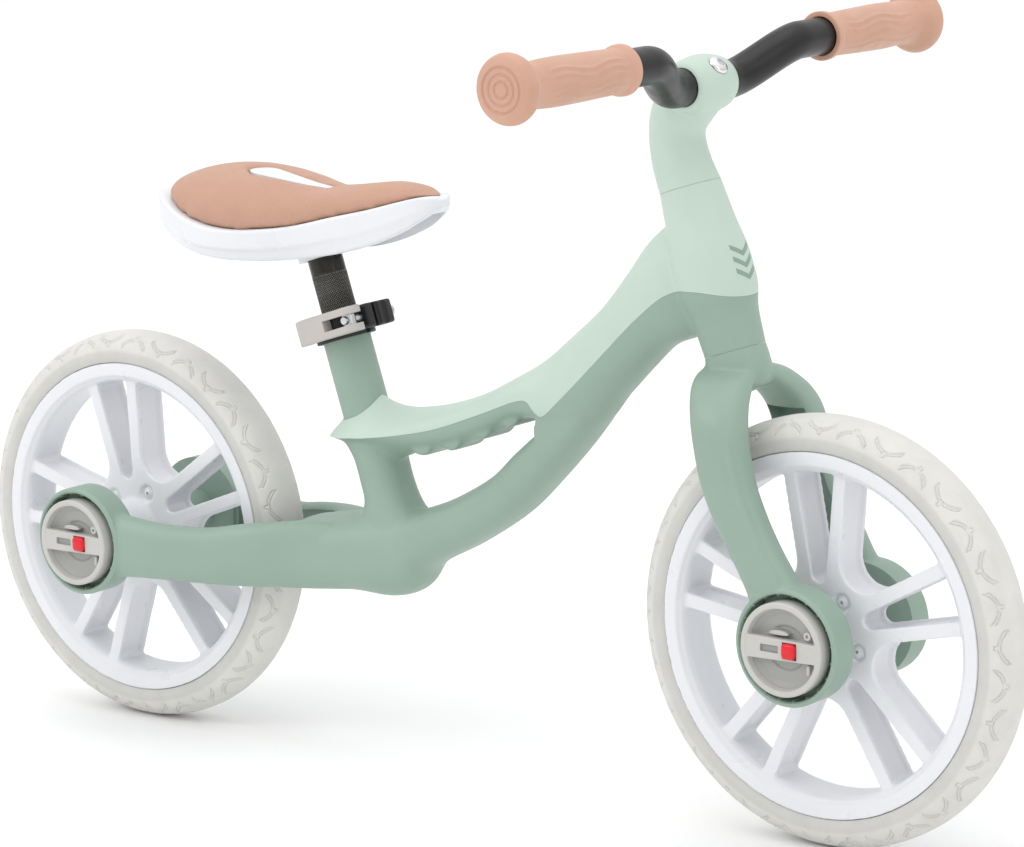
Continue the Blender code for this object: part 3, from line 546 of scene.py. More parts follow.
class Finish:
    """A material made of a Principled shader and the nodes that feed it. Sizes are in metres."""

    def __init__(self, name, **sockets):
        self.material = bpy.data.materials.new(name)
        self.material.use_nodes = True
        self.tree = self.material.node_tree
        self.shader = self.tree.nodes["Principled BSDF"]
        self.coordinates = self.add("ShaderNodeTexCoord").outputs["Object"]
        self.normal = None
        for socket, value in sockets.items():
            self.shader.inputs[socket.replace("_", " ")].default_value = value

    def add(self, kind, **settings):
        node = self.tree.nodes.new(kind)
        for key, value in settings.items():
            setattr(node, key, value)
        return node

    def link(self, start, end):
        self.tree.links.new(start, end)

    def stretched(self, scale):
        mapping = self.add("ShaderNodeMapping")
        mapping.inputs["Scale"].default_value = scale
        self.link(self.coordinates, mapping.inputs["Vector"])
        return mapping.outputs["Vector"]

    def vector(self, operation, source, value=(0, 0, 0)):
        node = self.add("ShaderNodeVectorMath", operation=operation)
        self.link(source, node.inputs[0])
        node.inputs[1].default_value = value
        return node.outputs

    def noise(self, size, detail, roughness=0.5, where=None):
        node = self.add("ShaderNodeTexNoise")
        node.inputs["Scale"].default_value = 1 / size
        node.inputs["Detail"].default_value = detail
        node.inputs["Roughness"].default_value = roughness
        self.link(where or self.coordinates, node.inputs["Vector"])
        return node.outputs["Fac"]

    def cells(self, size, feature="F1"):
        node = self.add("ShaderNodeTexVoronoi", feature=feature)
        node.inputs["Scale"].default_value = 1 / size
        self.link(self.coordinates, node.inputs["Vector"])
        return node.outputs["Distance"]

    def ramp(self, source, *stops):
        """Colour stops as (position, colour)."""
        node = self.add("ShaderNodeValToRGB")
        points = node.color_ramp.elements
        points[0].position, points[1].position = stops[0][0], stops[-1][0]
        for position, _ in stops[1:-1]:
            points.new(position)
        for point, (_, colour) in zip(points, stops):
            point.color = (*colour, 1)
        self.link(source, node.inputs["Fac"])
        return node.outputs["Color"]

    def tones(self, source, colour, dark, light):
        """A colour between two shades of itself."""
        return self.ramp(source, (0.3, shade(colour, dark)), (0.7, shade(colour, light)))

    def spread(self, source, low, high, start, end):
        """Numbers from low to high as source runs from start to end."""
        node = self.add("ShaderNodeMapRange")
        for name, value in (("From Min", start), ("From Max", end), ("To Min", low), ("To Max", high)):
            node.inputs[name].default_value = value
        self.link(source, node.inputs["Value"])
        return node.outputs["Result"]

    def mix(self, amount, first, second):
        """Between two colour outputs."""
        node = self.add("ShaderNodeMix", data_type="RGBA")
        self.link(amount, node.inputs[0])
        self.link(first, node.inputs[6])
        self.link(second, node.inputs[7])
        return node.outputs[2]

    def bump(self, source, depth, strength=1.0):
        node = self.add("ShaderNodeBump")
        node.inputs["Strength"].default_value = strength
        node.inputs["Distance"].default_value = depth
        self.link(source, node.inputs["Height"])
        if self.normal is not None:
            self.link(self.normal, node.inputs["Normal"])
        self.normal = node.outputs["Normal"]
        self.link(self.normal, self.shader.inputs["Normal"])

    def colour(self, source):
        self.link(source, self.shader.inputs["Base Color"])

    def rough(self, source, low, high, start=0.35, end=0.65):
        self.link(self.spread(source, low, high, start, end), self.shader.inputs["Roughness"])


def moulded_plastic(name, colour, low_rough, high_rough, mottle=0.03):
    """Injection-moulded plastic: fine spark-eroded grain, and a little flow variation in colour and gloss."""
    finish = Finish(name)
    finish.colour(finish.tones(finish.noise(0.05, 3), colour, 1 - mottle, 1 + mottle))
    finish.rough(finish.noise(0.02, 2), low_rough, high_rough, 0.2, 0.8)
    finish.bump(finish.noise(0.0006, 2), 0.000008)
    return finish.material


def soft_rubber(name, colour):
    """Soft-touch grip rubber: a fine stipple and a slight bloom."""
    finish = Finish(name, Sheen_Weight=0.12, Sheen_Roughness=0.5, Specular_IOR_Level=0.4)
    finish.colour(finish.tones(finish.noise(0.02, 4), colour, 0.95, 1.04))
    finish.rough(finish.noise(0.008, 3), 0.5, 0.64)
    finish.bump(finish.cells(0.0006), 0.00004, 0.7)
    finish.bump(finish.noise(0.0016, 2), 0.00004, 0.5)
    return finish.material


def padded_skin(name, colour):
    """Seat skin: small leathery cells with soft creases between them, and painted shade that darkens the
    creases.
    """
    finish = Finish(name, Sheen_Weight=0.1, Sheen_Roughness=0.4, Specular_IOR_Level=0.35)
    creases = finish.cells(0.0016, "DISTANCE_TO_EDGE")
    tone = finish.tones(finish.noise(0.03, 4), colour, 0.95, 1.05)
    # Painted shade: the colour darkens into the creases between the cells.
    dark = finish.ramp(creases, (0.0, shade(colour, 0.86)), (0.12, shade(colour, 1.0)))
    finish.colour(finish.mix(finish.spread(creases, 0.5, 1.0, 0.0, 0.1), dark, tone))
    finish.rough(creases, 0.68, 0.52, 0.0, 0.2)
    finish.bump(finish.spread(creases, 0.0, 1.0, 0.0, 0.15), 0.00006, 0.6)
    finish.bump(finish.noise(0.0004, 2), 0.00002, 0.5)
    return finish.material


def tyre_foam(name, colour, hub):
    """Foamed tyre: open pores, faint scuffs, and painted shade that darkens a smooth band beside the rim."""
    finish = Finish(name, Specular_IOR_Level=0.3)
    flat = finish.vector("MULTIPLY", finish.vector("SUBTRACT", finish.coordinates, hub)[0], (1, 0, 1))
    radius = finish.vector("LENGTH", flat[0])["Value"]
    # Painted shade: the band beside the rim is coloured darker for the shade it takes as it faces away from
    # the light.
    band = finish.spread(radius, 0.0, 1.0, 0.1145, 0.1165)
    scuffs = finish.noise(0.018, 5, 0.6)
    outer = finish.tones(scuffs, colour, 0.95, 1.04)
    # inner is the painted shade of that band, a darker copy of the tyre's colour.
    inner = finish.tones(scuffs, colour, 0.84, 0.92)
    finish.colour(finish.mix(band, inner, outer))
    finish.rough(finish.noise(0.006, 3), 0.62, 0.8)
    finish.bump(finish.cells(0.0011), 0.00006, 0.5)
    finish.bump(finish.noise(0.0005, 2), 0.00004, 0.5)
    return finish.material


def coated_steel(name, colour):
    """Powder coat on steel: satin, with a fine orange peel."""
    finish = Finish(name, Metallic=0.0, Coat_Weight=0.12, Coat_Roughness=0.2, Specular_IOR_Level=0.35)
    finish.colour(finish.tones(finish.noise(0.01, 3), colour, 0.85, 1.15))
    finish.rough(finish.noise(0.01, 3), 0.3, 0.42)
    finish.bump(finish.noise(0.0014, 2), 0.00003, 0.5)
    return finish.material


def bare_metal(name, colour, low_rough, high_rough, brush):
    """Plated steel with fine tool marks that run across brush."""
    finish = Finish(name, Metallic=1.0)
    lines = finish.noise(0.0012, 3, 0.6, finish.stretched(brush))
    finish.colour(finish.tones(lines, colour, 0.88, 1.08))
    finish.rough(lines, low_rough, high_rough)
    finish.bump(lines, 0.00001, 0.5)
    return finish.material


SAGE = srgb(142, 164, 151)
MINT = srgb(186, 204, 192)
PEACH = srgb(198, 155, 133)
SKIN = srgb(190, 149, 128)
WHITE = srgb(225, 226, 230)
TYRE = srgb(211, 210, 206)
LEVER = srgb(184, 179, 175)
DISC = srgb(190, 189, 185)
BLACK = srgb(22, 22, 24)
RED = srgb(216, 16, 34)
STEEL = srgb(200, 202, 206)

SAGE_PLASTIC = moulded_plastic("sage_plastic", SAGE, 0.38, 0.5)
MINT_PLASTIC = moulded_plastic("mint_plastic", MINT, 0.38, 0.5)
WHITE_PLASTIC = moulded_plastic("white_plastic", WHITE, 0.25, 0.36, mottle=0.01)
LEVER_PLASTIC = moulded_plastic("lever_plastic", LEVER, 0.4, 0.5)
DISC_PLASTIC = moulded_plastic("disc_plastic", DISC, 0.35, 0.48)
BLACK_PLASTIC = moulded_plastic("black_plastic", BLACK, 0.4, 0.5, mottle=0.1)
RED_PLASTIC = moulded_plastic("red_plastic", RED, 0.22, 0.3, mottle=0.02)
# The bowl's grey is partly a darker tone of its plastic and partly painted shade for the hollow of the bowl.
BOWL_TONE_AND_SHADE = moulded_plastic("bowl_tone_and_shade", srgb(164, 164, 161), 0.38, 0.48)
INSERT_PLASTIC = moulded_plastic("insert_plastic", srgb(150, 150, 149), 0.4, 0.5)
DECAL_INK = moulded_plastic("decal_ink", shade(SAGE, 0.9), 0.4, 0.5)
GRIP_RUBBER = soft_rubber("grip_rubber", PEACH)
SEAT_SKIN = padded_skin("seat_skin", SKIN)
BAR_COAT = coated_steel("bar_coat", BLACK)
POST_COAT = bare_metal("post_coat", srgb(58, 57, 54), 0.16, 0.26, (4, 4, 4))
KNURL_STEEL = bare_metal("knurl_steel", srgb(118, 116, 112), 0.3, 0.4, (4, 4, 4))
ZINC = bare_metal("zinc_steel", STEEL, 0.2, 0.34, (1, 8, 1))
CHROME = bare_metal("chrome", srgb(228, 228, 230), 0.06, 0.12, (4, 4, 4))


# ---- frame

def upright(points, low, high):
    """A prism across the bike from an outline in (x, z)."""
    turn = Matrix.Translation((REAR.x, 0, 0)) @ Matrix.Rotation(pi / 2, 4, "X")
    return prism(points, low, high, turn)


def two_tone_prism(drop):
    line = smooth_rows(TWO_TONE, 6)
    points = [(x, z - drop) for x, z in line] + [(510, 420), (150, 420)]
    return upright(points, -70, 70)


def dropout_solid(end, side, less=0.0):
    """The round end of a leg or stay. less makes it a little smaller all over."""
    face = DROPOUT_FACE_Y[end] - less
    inner = DROPOUT_FACE_Y[end] - DROPOUT_DEPTH + less
    boss = HUB_HALF_WIDTH + 1.0 + less
    edge = DROPOUT_R - less
    profile = [(0, face), (edge - 1.5, face), (edge, face - 1.5), (edge, inner), (13, inner), (10, boss),
               (0, boss)]
    return turned(profile, hub_frame(end, side), 96)


def dropout_cuts(end, side):
    """The recess for the lock disc, with small ribs on its wall, and the axle's hole."""
    face = DROPOUT_FACE_Y[end]
    floor = face - DISC_RECESS_DEPTH

    def ribs(angle, radius, height):
        turn = (np.degrees(angle) / 18) % 1
        near = np.clip(1 - abs(turn - 0.5) / 0.045, 0, 1)
        wall = (radius > DISC_RECESS_R - 0.5) & (height < face - 0.8)
        return -1.1 * np.minimum(1, near * 2) * wall

    deep = floor - 7.0
    step, wall, mouth = DISC_R - 0.6, DISC_RECESS_R, DISC_RECESS_R + 0.9
    outline = [(0, floor), (step, floor), (step, deep), (wall, deep), (wall, face - 1.0),
               (mouth, face + 0.1), (mouth, face + 20), (0, face + 20)]
    recess = turned(outline, hub_frame(end, side), 480, relief=ribs)
    hole = rod(AXLE_R + GAP, 0, face + 30, hub_frame(end, side), 32)
    return recess, hole


def hollow_cuts(end, side, stations, is_upright, hollow_from):
    """The open inside of a stay or leg, and the room that it leaves for the hub."""
    face = DROPOUT_FACE_Y[end]
    hollow = [(where, centre, y - HOLLOW_SHIFT, half - HOLLOW_WALL, thick)
              for where, centre, y, half, thick in stations[hollow_from:-1]]
    inside = loft(level_rings(hollow, side, 40, 3.2, is_upright))
    low, high = HUB_HALF_WIDTH - 5, face - DROPOUT_DEPTH - 0.02
    inner, outer = 11.5, DROPOUT_R - 3
    room = [(inner, high), (outer, high), (outer, low), (inner, low)]
    return inside, turned(room, hub_frame(end, side), 96, ring=True)


def deck_edge():
    """The deck's crisp rim: its own shape, sunk a little above and below so that only the rim shows."""
    rows = []
    for tx, tz, bx, bz, half, edge, over, under in DECK[:DECK_EDGE_ROWS]:
        sunk = min(0.9, 0.2 * (tz - bz))
        rows.append((tx, tz - sunk, bx, bz + sunk, half, edge, over, under))
    tx, tz, bx, bz, half, edge, over, under = rows[-1]
    rows[-1] = (tx, tz - 2, bx, bz + 2, half - 3, edge, over, under)
    return loft(side_rings(rows, 8, 96))


def build_frame():
    above = HEAD_LENGTH + 4
    head = [(0, above), (18.2, above), *smooth_rows(HEAD_PROFILE, 4), (18.3, -4), (0, -4)]
    solids = [
        loft(side_rings(DECK, count=64)), loft(side_rings(DOWN_TUBE)), turned(head, HEAD_FRAME),
        loft(level_rings(STRUT, 1, power=2.2)),
    ]
    for x, z in FINGER_BUMPS:
        solids.append(rod(FINGER_BUMP_R, -13.5, 13.5, axle_frame(x, 0, z), 48))
    solids.append(rod(HOLE_END_R, -17, 17, axle_frame(HOLE_END[0], 0, HOLE_END[1]), 48))
    for side in (-1, 1):
        solids.append(loft(level_rings(STAY, side, upright=False)))
        solids.append(dropout_solid("rear", side))
    body = mould(solids, 1.5, 10)
    carve(body, "UNION", deck_edge())
    cut(body, rod(40, HEAD_LENGTH, HEAD_LENGTH + 20, HEAD_FRAME), rod(24, -20, 0, HEAD_FRAME))
    shell = copied(body)
    carve(shell, "INTERSECT", two_tone_prism(0))
    cut(shell, rod(SEAT_TUBE_R + GAP, -75, 60, SEAT_FRAME, 96))
    cut(shell, rod(HEAD_BORE_R, -10, 110, HEAD_FRAME))
    cut(body, two_tone_prism(SEAM))
    for side in (-1, 1):
        cut(body, *hollow_cuts("rear", side, STAY[:-1], False, 1))
        carve(body, "UNION", dropout_solid("rear", side, 0.04))
        cut(body, *dropout_cuts("rear", side))
    cut(body, loft(side_rings(YOKE_POCKET, 6, 48, 3.5)))
    tube = [(0, 18), (SEAT_TUBE_R, 18), (SEAT_TUBE_R, -70), (0, -70)]
    carve(body, "UNION", turned(eased(tube, 0.8), SEAT_FRAME, 96))
    cut(body, rod(HEAD_BORE_R, -10, 110, HEAD_FRAME))
    cut(body, rod(POST_R + 0.35, -118, 40, SEAT_FRAME))
    cut(body, block((8, -1.5, 3), (20, 1.5, 30), SEAT_FRAME))
    keep(body, "frame_body", "frame", SAGE_PLASTIC)
    keep(shell, "upper_shell", "frame", MINT_PLASTIC)
    return shell


def build_head_mark(shell):
    """Three plain chevrons printed on the front of the head tube."""
    faces = [tuple(p.vertices) for p in shell.data.polygons]
    tree = BVHTree.FromPolygons([v.co for v in shell.data.vertices], faces)
    mesh = bmesh.new()
    half, thickness, rise, cells = 8.5, 3.0, 5.0, 14
    for height in (37, 44, 51):
        rows = []
        for i in range(-cells, cells + 1):
            y = half * i / cells
            foot = height + rise * abs(y) / half
            rows.append([mark_vertex(mesh, tree, y, foot + thickness * k / 3) for k in range(4)])
        for a, b in zip(rows, rows[1:]):
            for k in range(3):
                mesh.faces.new((a[k], b[k], b[k + 1], a[k + 1]))
    bmesh.ops.recalc_face_normals(mesh, faces=mesh.faces)
    mark = made_of(mesh, "head_mark")
    solid = mark.modifiers.new("thickness", "SOLIDIFY")
    solid.thickness = 0.2 * MM
    solid.offset = 0
    bake(mark)
    dress(mark, DECAL_INK, 40)
    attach(mark, "frame")


def mark_vertex(mesh, tree, y, height):
    """A point of the mark, found on the head tube from in front."""
    start = HEAD_FRAME @ Vector((60 * MM, y * MM, height * MM))
    direction = HEAD_FRAME.to_3x3() @ Vector((-1, 0, 0))
    hit = tree.ray_cast(start, direction)[0]
    return mesh.verts.new(hit - direction * 0.05 * MM)


# ---- fork and stem

def leg_ridge(side):
    """A fine raised line near the front edge of a leg, which fades out at both ends."""
    turn = radians(50)
    front, out = abs(cos(turn)) ** (2 / 2.6), abs(sin(turn)) ** (2 / 2.6)
    path = []
    for where, centre, y, half, thick in smooth_rows([row for row in LEG if 165 <= row[0] <= 249], 8):
        path.append((centre + front * half, side * (y + out * thick), where))
    fade = np.sin(np.linspace(0, pi, len(path))) ** 0.4
    return sweep(path, 0.3 + 1.9 * fade, 12)


def build_fork():
    crown = [(0, 4), (18.3, 4), *smooth_rows(CROWN_PROFILE, 4), (0, -26)]
    solids = [turned(crown, HEAD_FRAME, 96)]
    for side in (-1, 1):
        solids.append(loft(level_rings(LEG, side)))
        solids.append(leg_ridge(side))
        solids.append(dropout_solid("front", side))
    fork = mould(solids, 1.25, 9)
    cut(fork, rod(40, -SEAM, 20, HEAD_FRAME))
    for side in (-1, 1):
        cut(fork, *hollow_cuts("front", side, LEG, True, LEG_HOLLOW_FROM))
        carve(fork, "UNION", dropout_solid("front", side, 0.04))
        cut(fork, *dropout_cuts("front", side))
    cut(fork, rod(STEERER_R + GAP, -22, 20, HEAD_FRAME))
    keep(fork, "fork", "steering", SAGE_PLASTIC)


def build_stem():
    neck = np.array(STEM_NECK, float)
    foot = neck[0] + (neck[0] - neck[1]) * 0.4
    r, w = 17.3, 19.5
    barrel = [(0, w), (r - 4.5, w), (r - 1.8, w * 0.75), (r, w * 0.25), (r, -w * 0.25), (r - 1.8, -w * 0.75),
              (r - 4.5, -w), (0, -w)]
    solids = [loft(side_rings(np.vstack([foot, neck]), 6, 64, 2.1)), turned(eased(barrel, 5), BAR_FRAME)]
    stem = mould(solids, 0.9, 9)
    cut(stem, rod(40, 60, HEAD_LENGTH + SEAM, HEAD_FRAME), rod(BAR_R + GAP, -30, 30, BAR_FRAME, 96))
    cut(stem, rod(STEERER_R + GAP, 80, 126, HEAD_FRAME))
    seat = [(0, 30), (8.0, 30), (7.2, 17.6), (7.0, 16.2), (3.3, 16.2), (3.3, 8), (0, 8)]
    cut(stem, turned(seat, STEM_BOLT_FRAME, 64))
    keep(stem, "stem", "steering", MINT_PLASTIC)
    build_stem_bolt()


def build_stem_bolt():
    """A domed cap screw with a hexagon socket."""
    dome = [(6.3 * sin(a), 16.6 + 3.0 * cos(a)) for a in np.linspace(0, pi / 2, 14)]
    bolt = turned(dome + [(6.3, 16.5), (3, 16.5), (3, 11.6), (0, 11.6)], STEM_BOLT_FRAME, 64)
    hexagon = arc((0, 0), 2.9, 0, 300, 6)
    cut(bolt, prism(hexagon, 17.3, 25, STEM_BOLT_FRAME))
    keep(bolt, "stem_bolt", "steering", CHROME)


# ---- handlebar and grips

def build_handlebar():
    rows = []
    for y in np.concatenate([np.linspace(0, 24, 9), np.linspace(26, 80, 40), np.linspace(86, 205, 20)]):
        t = min(max((y - 26) / 50, 0), 1)
        ease = t * t * (3 - 2 * t)
        x = BAR_AXIS[0] + (GRIP_AXIS[0] - BAR_AXIS[0]) * ease
        rows.append((x, y, BAR_AXIS[1] + (GRIP_AXIS[1] - BAR_AXIS[1]) * ease))
    path = [(x, -y, z) for x, y, z in reversed(rows[1:])] + rows
    keep(sweep(path, BAR_R, 64), "handlebar", "steering", BAR_COAT)


def grip_relief(angle, radius, height):
    """Long rounded ribs that follow the palm, and a finger ridge at each end of them."""
    low, high = GRIP_INNER_Y + 10, GRIP_OUTER_Y - 27
    t = np.clip((height - low) / (high - low), 0, 1)
    window = np.clip(np.sin(pi * t) * 3, 0, 1) * (height > low) * (height < high)
    total = 0
    for side in (0, pi):
        around = np.angle(np.exp(1j * (angle - side)))
        for k in (-2, -1, 0, 1, 2):
            centre = 0.30 * k + 0.11 * np.sin(2 * pi * t * 1.5)
            total = total + np.exp(-((around - centre) / 0.075) ** 2)
    return 0.75 * window * np.clip(total, 0, 1)


def build_grips():
    bore = BAR_R + GAP
    low, high = GRIP_INNER_Y, GRIP_OUTER_Y
    end = [(0, high - 0.2)]
    for ring in (4.5, 8.5, 12.5):
        end += [(ring - 0.9, high - 0.2), (ring - 0.5, high - 0.9), (ring + 0.5, high - 0.9),
                (ring + 0.9, high - 0.2)]
    body = [(14.5, high - 0.3), (18.4, high - 2.4), (19.8, high - 7), (18.2, high - 11.5), (14.2, high - 16),
            (13.1, high - 23), (13.8, high - 50), (12.8, low + 7)]
    collar = [(14.4, low + 4.5), (14.7, low), (bore, low), (bore, high - 1.8), (0, high - 1.8)]
    outside = spaced(eased(end, 0.5, count=3) + list(smooth_rows(body, 10)), 1.0)
    profile = [*outside, *eased([outside[-1]] + collar, 0.8)[1:]]
    for label, side in (("right", -1), ("left", 1)):
        at = axle_frame(GRIP_AXIS[0], 0, GRIP_AXIS[1], side)
        grip = turned(profile, at, 180, relief=grip_relief)
        keep(grip, "grip_" + label, "steering", GRIP_RUBBER)


# ---- wheels

ARM_WIDTH = 8.6
ARM_DEPTH = 25.0
ARM_START = 20.0
ARM_OFFSET = 7.2
ARM_SPREAD = atan2(8.7, 64.0)
BOSS_RING_R = 25.0


def wedge(apex, half_angle, radius, reach, centre_angle, depth):
    """A prism whose outline is a wedge with a round tip, tangent to both walls."""
    middle = apex + radius / sin(half_angle)
    tip = arc((middle, 0), radius, 90 + degrees(half_angle), 270 - degrees(half_angle), 17)
    far, spread = apex + reach, reach * tan(half_angle)
    turn = Matrix.Rotation(centre_angle, 4, "Z")
    return prism(tip + [(far, -spread), (far, spread)], -depth, depth, turn)


def build_wheel_mesh():
    """Hub, ten arms in five hairpin pairs, and the rim, as one moulding in the hub's frame."""
    step = 2 * pi / SPOKE_PAIRS
    half = ARM_DEPTH / 2
    slope = tan(ARM_SPREAD)
    inner_wall = ARM_OFFSET - ARM_WIDTH / 2 / cos(ARM_SPREAD)
    outer_wall = ARM_OFFSET + ARM_WIDTH / 2 / cos(ARM_SPREAD)
    pair_apex = ARM_START - inner_wall / slope
    middle = step / 2
    between_apex = (outer_wall - ARM_START * slope) / (tan(middle) - slope) / cos(middle)
    between_half = middle - ARM_SPREAD
    web = turned([(0, half), (98, half), (98, -half), (0, -half)], STILL, 180)
    for depth, grow, reach in ((half + 4, 0.0, 108.0), (half - 3.6, 1.7, 92.0)):
        narrow, wide = [], []
        for i in range(SPOKE_PAIRS):
            start = pair_apex - grow / sin(ARM_SPREAD)
            narrow.append(wedge(start, ARM_SPREAD, 4.98 + grow, reach - start, i * step, depth))
            start = between_apex - grow / sin(between_half)
            length = reach * 0.985 - start
            wide.append(wedge(start, between_half, 16.5 + grow, length, (i + 0.5) * step, depth))
        windows = [gather(narrow), gather(wide)]
        if grow:
            for window in windows:
                cut(window, turned([(112, 30), (92.5, 30), (92.5, -30), (112, -30)], STILL, 180, ring=True))
        cut(web, *windows)
    turns = [(i + 0.5) * step for i in range(SPOKE_PAIRS)]
    bosses = [offset(BOSS_RING_R * cos(turn), BOSS_RING_R * sin(turn)) for turn in turns]
    pocket = [(0, half + 4), (6.8, half + 4), (5.4, half - 2.2), (0, half - 2.2)]
    for at in bosses:
        for flip in (Matrix.Rotation(pi, 4, "X"), STILL):
            cut(web, turned(pocket, at @ flip, 40))
    rim = [
        (RIM_R, 17.3), (RIM_R, 13), (101.8, 10.3), (101.8, -10.3), (RIM_R, -13), (RIM_R, -17.3),
        (99.2, -17.1), (98.4, -15.2), (96.6, -14.6), (95, -11), (95, 11), (96.6, 14.6), (98.4, 15.2),
        (99.2, 17.1),
    ]
    w = HUB_HALF_WIDTH
    core = [(0, w), (14.5, w), (16.0, 16), (19.5, 12), (19.5, -12), (16.0, -16), (14.5, -w), (0, -w)]
    solids = [web, turned(rim, STILL, 300, ring=True), turned(core, STILL, 96)]
    solids += [rod(2.9, -half + 0.4, half - 0.4, at, 24) for at in bosses]
    wheel = mould(solids, 0.95, 6)
    for at in bosses:
        cut(wheel, rod(1.1, half - 2.4, half + 5, at, 24), rod(1.1, -half - 5, -half + 2.4, at, 24))
    bore = BEARING_R + GAP
    seat = w - BEARING_WIDTH - 0.7
    hole = [(0, w + 3), (bore, w + 3), (bore, seat), (8, seat), (8, -seat), (bore, -seat), (bore, -w - 3),
            (0, -w - 3)]
    return cut(wheel, turned(hole, STILL, 96))


def tyre_relief(angle, radius, height):
    """Outlined Y-shaped marks on both shoulders, each turned the other way from the one before."""
    marks = 34
    turn = angle / (2 * pi) * marks
    number = np.floor(turn)
    flip = np.where(number % 2 == 0, 1.0, -1.0)
    along = (turn - number - 0.5) * 2 * pi * 119 / marks
    shoulder = radius + 0.9 * (TYRE_HALF_WIDTH - abs(height))
    up = (shoulder - 125.5) * flip
    bow = 4.2 - 0.085 * along ** 2
    off_bow = np.where(abs(along) < 9.5, (up - bow + 2) / np.hypot(1, 0.17 * along), 9)
    curve = np.hypot(np.maximum(abs(along) - 8.5, 0), off_bow)
    prong = np.hypot(along, np.maximum(np.maximum(up - 5.4, 2.2 - up), 0))
    away = np.minimum(curve, prong)
    return -0.9 * np.exp(-((away - 1.05) / 0.42) ** 2) * (radius > 110)


def build_tyre_mesh():
    w = TYRE_HALF_WIDTH
    inner = RIM_R - 5.5
    crown_r = 112.5
    outside = []
    for a in np.linspace(-pi / 2, pi / 2, 70):
        c, s = cos(a), sin(a)
        rise = (WHEEL_R - crown_r) * abs(c) ** (2 / 2.25)
        outside.append((crown_r + rise, w * copysign(abs(s) ** (2 / 2.25), s)))
    flank = [(RIM_R + 1.2, w - 0.5), (RIM_R + GAP, w - 1.3), (RIM_R + GAP, 12.5), (inner, 10)]
    ring = [*outside, *flank, *((r, -y) for r, y in reversed(flank))]
    return turned(ring, STILL, 1200, ring=True, relief=tyre_relief)


def build_wheels():
    wheel = build_wheel_mesh()
    tyre = build_tyre_mesh()
    for end in ("front", "rear"):
        hub = hub_frame(end)
        phase = Matrix.Rotation(-radians(SPOKE_PHASE[end]), 4, "Z")
        material = tyre_foam(end + "_tyre_foam", TYRE, REAR if end == "rear" else FRONT)
        keep(copied(wheel, hub @ phase), end + "_rim", end + "_wheel", WHITE_PLASTIC)
        keep(copied(tyre, hub @ phase), end + "_tyre", end + "_wheel", material)
    discard(wheel)
    discard(tyre)


# ---- hub lock discs

SLOT_DEPTH = 1.9


def build_lock_mesh():
    """A cup with a raised rim and a bar across it to turn it by, in the hub's frame with its base at zero."""
    top = DISC_THICKNESS
    pin = offset(17.0, 9.8)
    cup = [
        (0, 1.8), (12.5, 2.0), (13.4, 3.0), (19.5, 3.6), (23.0, 5.6), (24.0, top - 0.3), (24.7, top),
        (DISC_R - 0.7, top), (DISC_R, top - 0.9), (DISC_R, 0), (0, 0),
    ]
    bar = [(-24.2, -6.7), (24.2, -5.7), (24.2, 5.7), (-24.2, 6.7)]
    eye = [(-3.0 + 6.6 * cos(a), 8.6 + 2.1 * sin(a) * (1 if sin(a) > 0 else 0.4))
           for a in np.linspace(0, 2 * pi, 24, endpoint=False)]
    solids = [
        turned(cup, STILL, 120), prism(bar, 1, top - 0.5, STILL), prism(eye, 1, 6.8, STILL),
        rod(2.5, 1, 7.8, pin, 24), block((15.5, -13.5, 1), (18.0, -7.5, 6.6), STILL),
    ]
    disc = mould(solids, 0.42, 4)
    b = BUTTON_HALF + GAP
    pocket = block((BUTTON_X - b, -b, 1.7), (BUTTON_X + b, b, top + 5), STILL)
    slot = eased([(-14.0, -2.2), (-1.6, -2.2), (-1.6, 2.2), (-14.0, 2.2)], 0.9, True)
    return cut(disc, pocket, prism(slot, top - SLOT_DEPTH, top + 5, STILL), rod(1.0, 6.6, 12, pin, 20))


def build_button_mesh():
    """A small rounded square button with a domed top."""
    top = DISC_THICKNESS
    steps = [(4.1, 1.0), (top - 0.2, 1.0), (top + 0.7, 0.985), (top + 1.3, 0.93), (top + 1.8, 0.82),
             (top + 2.15, 0.6), (top + 2.3, 0.3)]
    shape = squircle(48, 4.5) * BUTTON_HALF * MM
    rings = []
    for height, size in smooth_rows(steps, 4):
        ring = np.column_stack([shape * size, np.full(48, height * MM)])
        rings.append(ring + np.array((BUTTON_X * MM, 0, 0)))
    return loft(rings)


def mark_slot(disc, at):
    """Darker plastic at the bottom of the slot in the disc's bar, and in the bowl a darker grey that is
    partly its own tone and partly painted shade.
    """
    disc.data.materials.append(INSERT_PLASTIC)
    disc.data.materials.append(BOWL_TONE_AND_SHADE)
    back = at.inverted()
    for face in disc.data.polygons:
        x, y, z = (back @ face.center) / MM
        if -14.1 < x < -1.5 and abs(y) < 2.3 and abs(z - (DISC_THICKNESS - SLOT_DEPTH)) < 0.2:
            face.material_index = 1
        # The bowl's faces get a grey that is partly their own darker tone and partly painted shade.
        elif z < 6 and hypot(x, y) < 23.6 and abs(y) > 6:
            face.material_index = 2


def build_locks():
    disc = build_lock_mesh()
    button = build_button_mesh()
    for end in ("front", "rear"):
        base = DROPOUT_FACE_Y[end] - DISC_RECESS_DEPTH + GAP
        for label, side in (("right", -1), ("left", 1)):
            at = hub_frame(end, side) @ offset(0, 0, base)
            node = f"{end}_lock_disc_{label}"
            mark_slot(keep(copied(disc, at), node, f"{end}_lock_{label}", DISC_PLASTIC), at)
            node = f"{end}_lock_button_{label}"
            keep(copied(button, at), node, f"{end}_button_{label}", RED_PLASTIC, 60)
    discard(disc)
    discard(button)


# ---- saddle

def saddle_rings(stations, shape, per_span=6):
    """Rings across the saddle from (x, half width, low z, high z)."""
    rings = []
    for x, half, low, high in smooth_rows(stations, per_span):
        rings.append(place_all([(x, half * a, low + (high - low) * b) for a, b in shape]))
    return rings


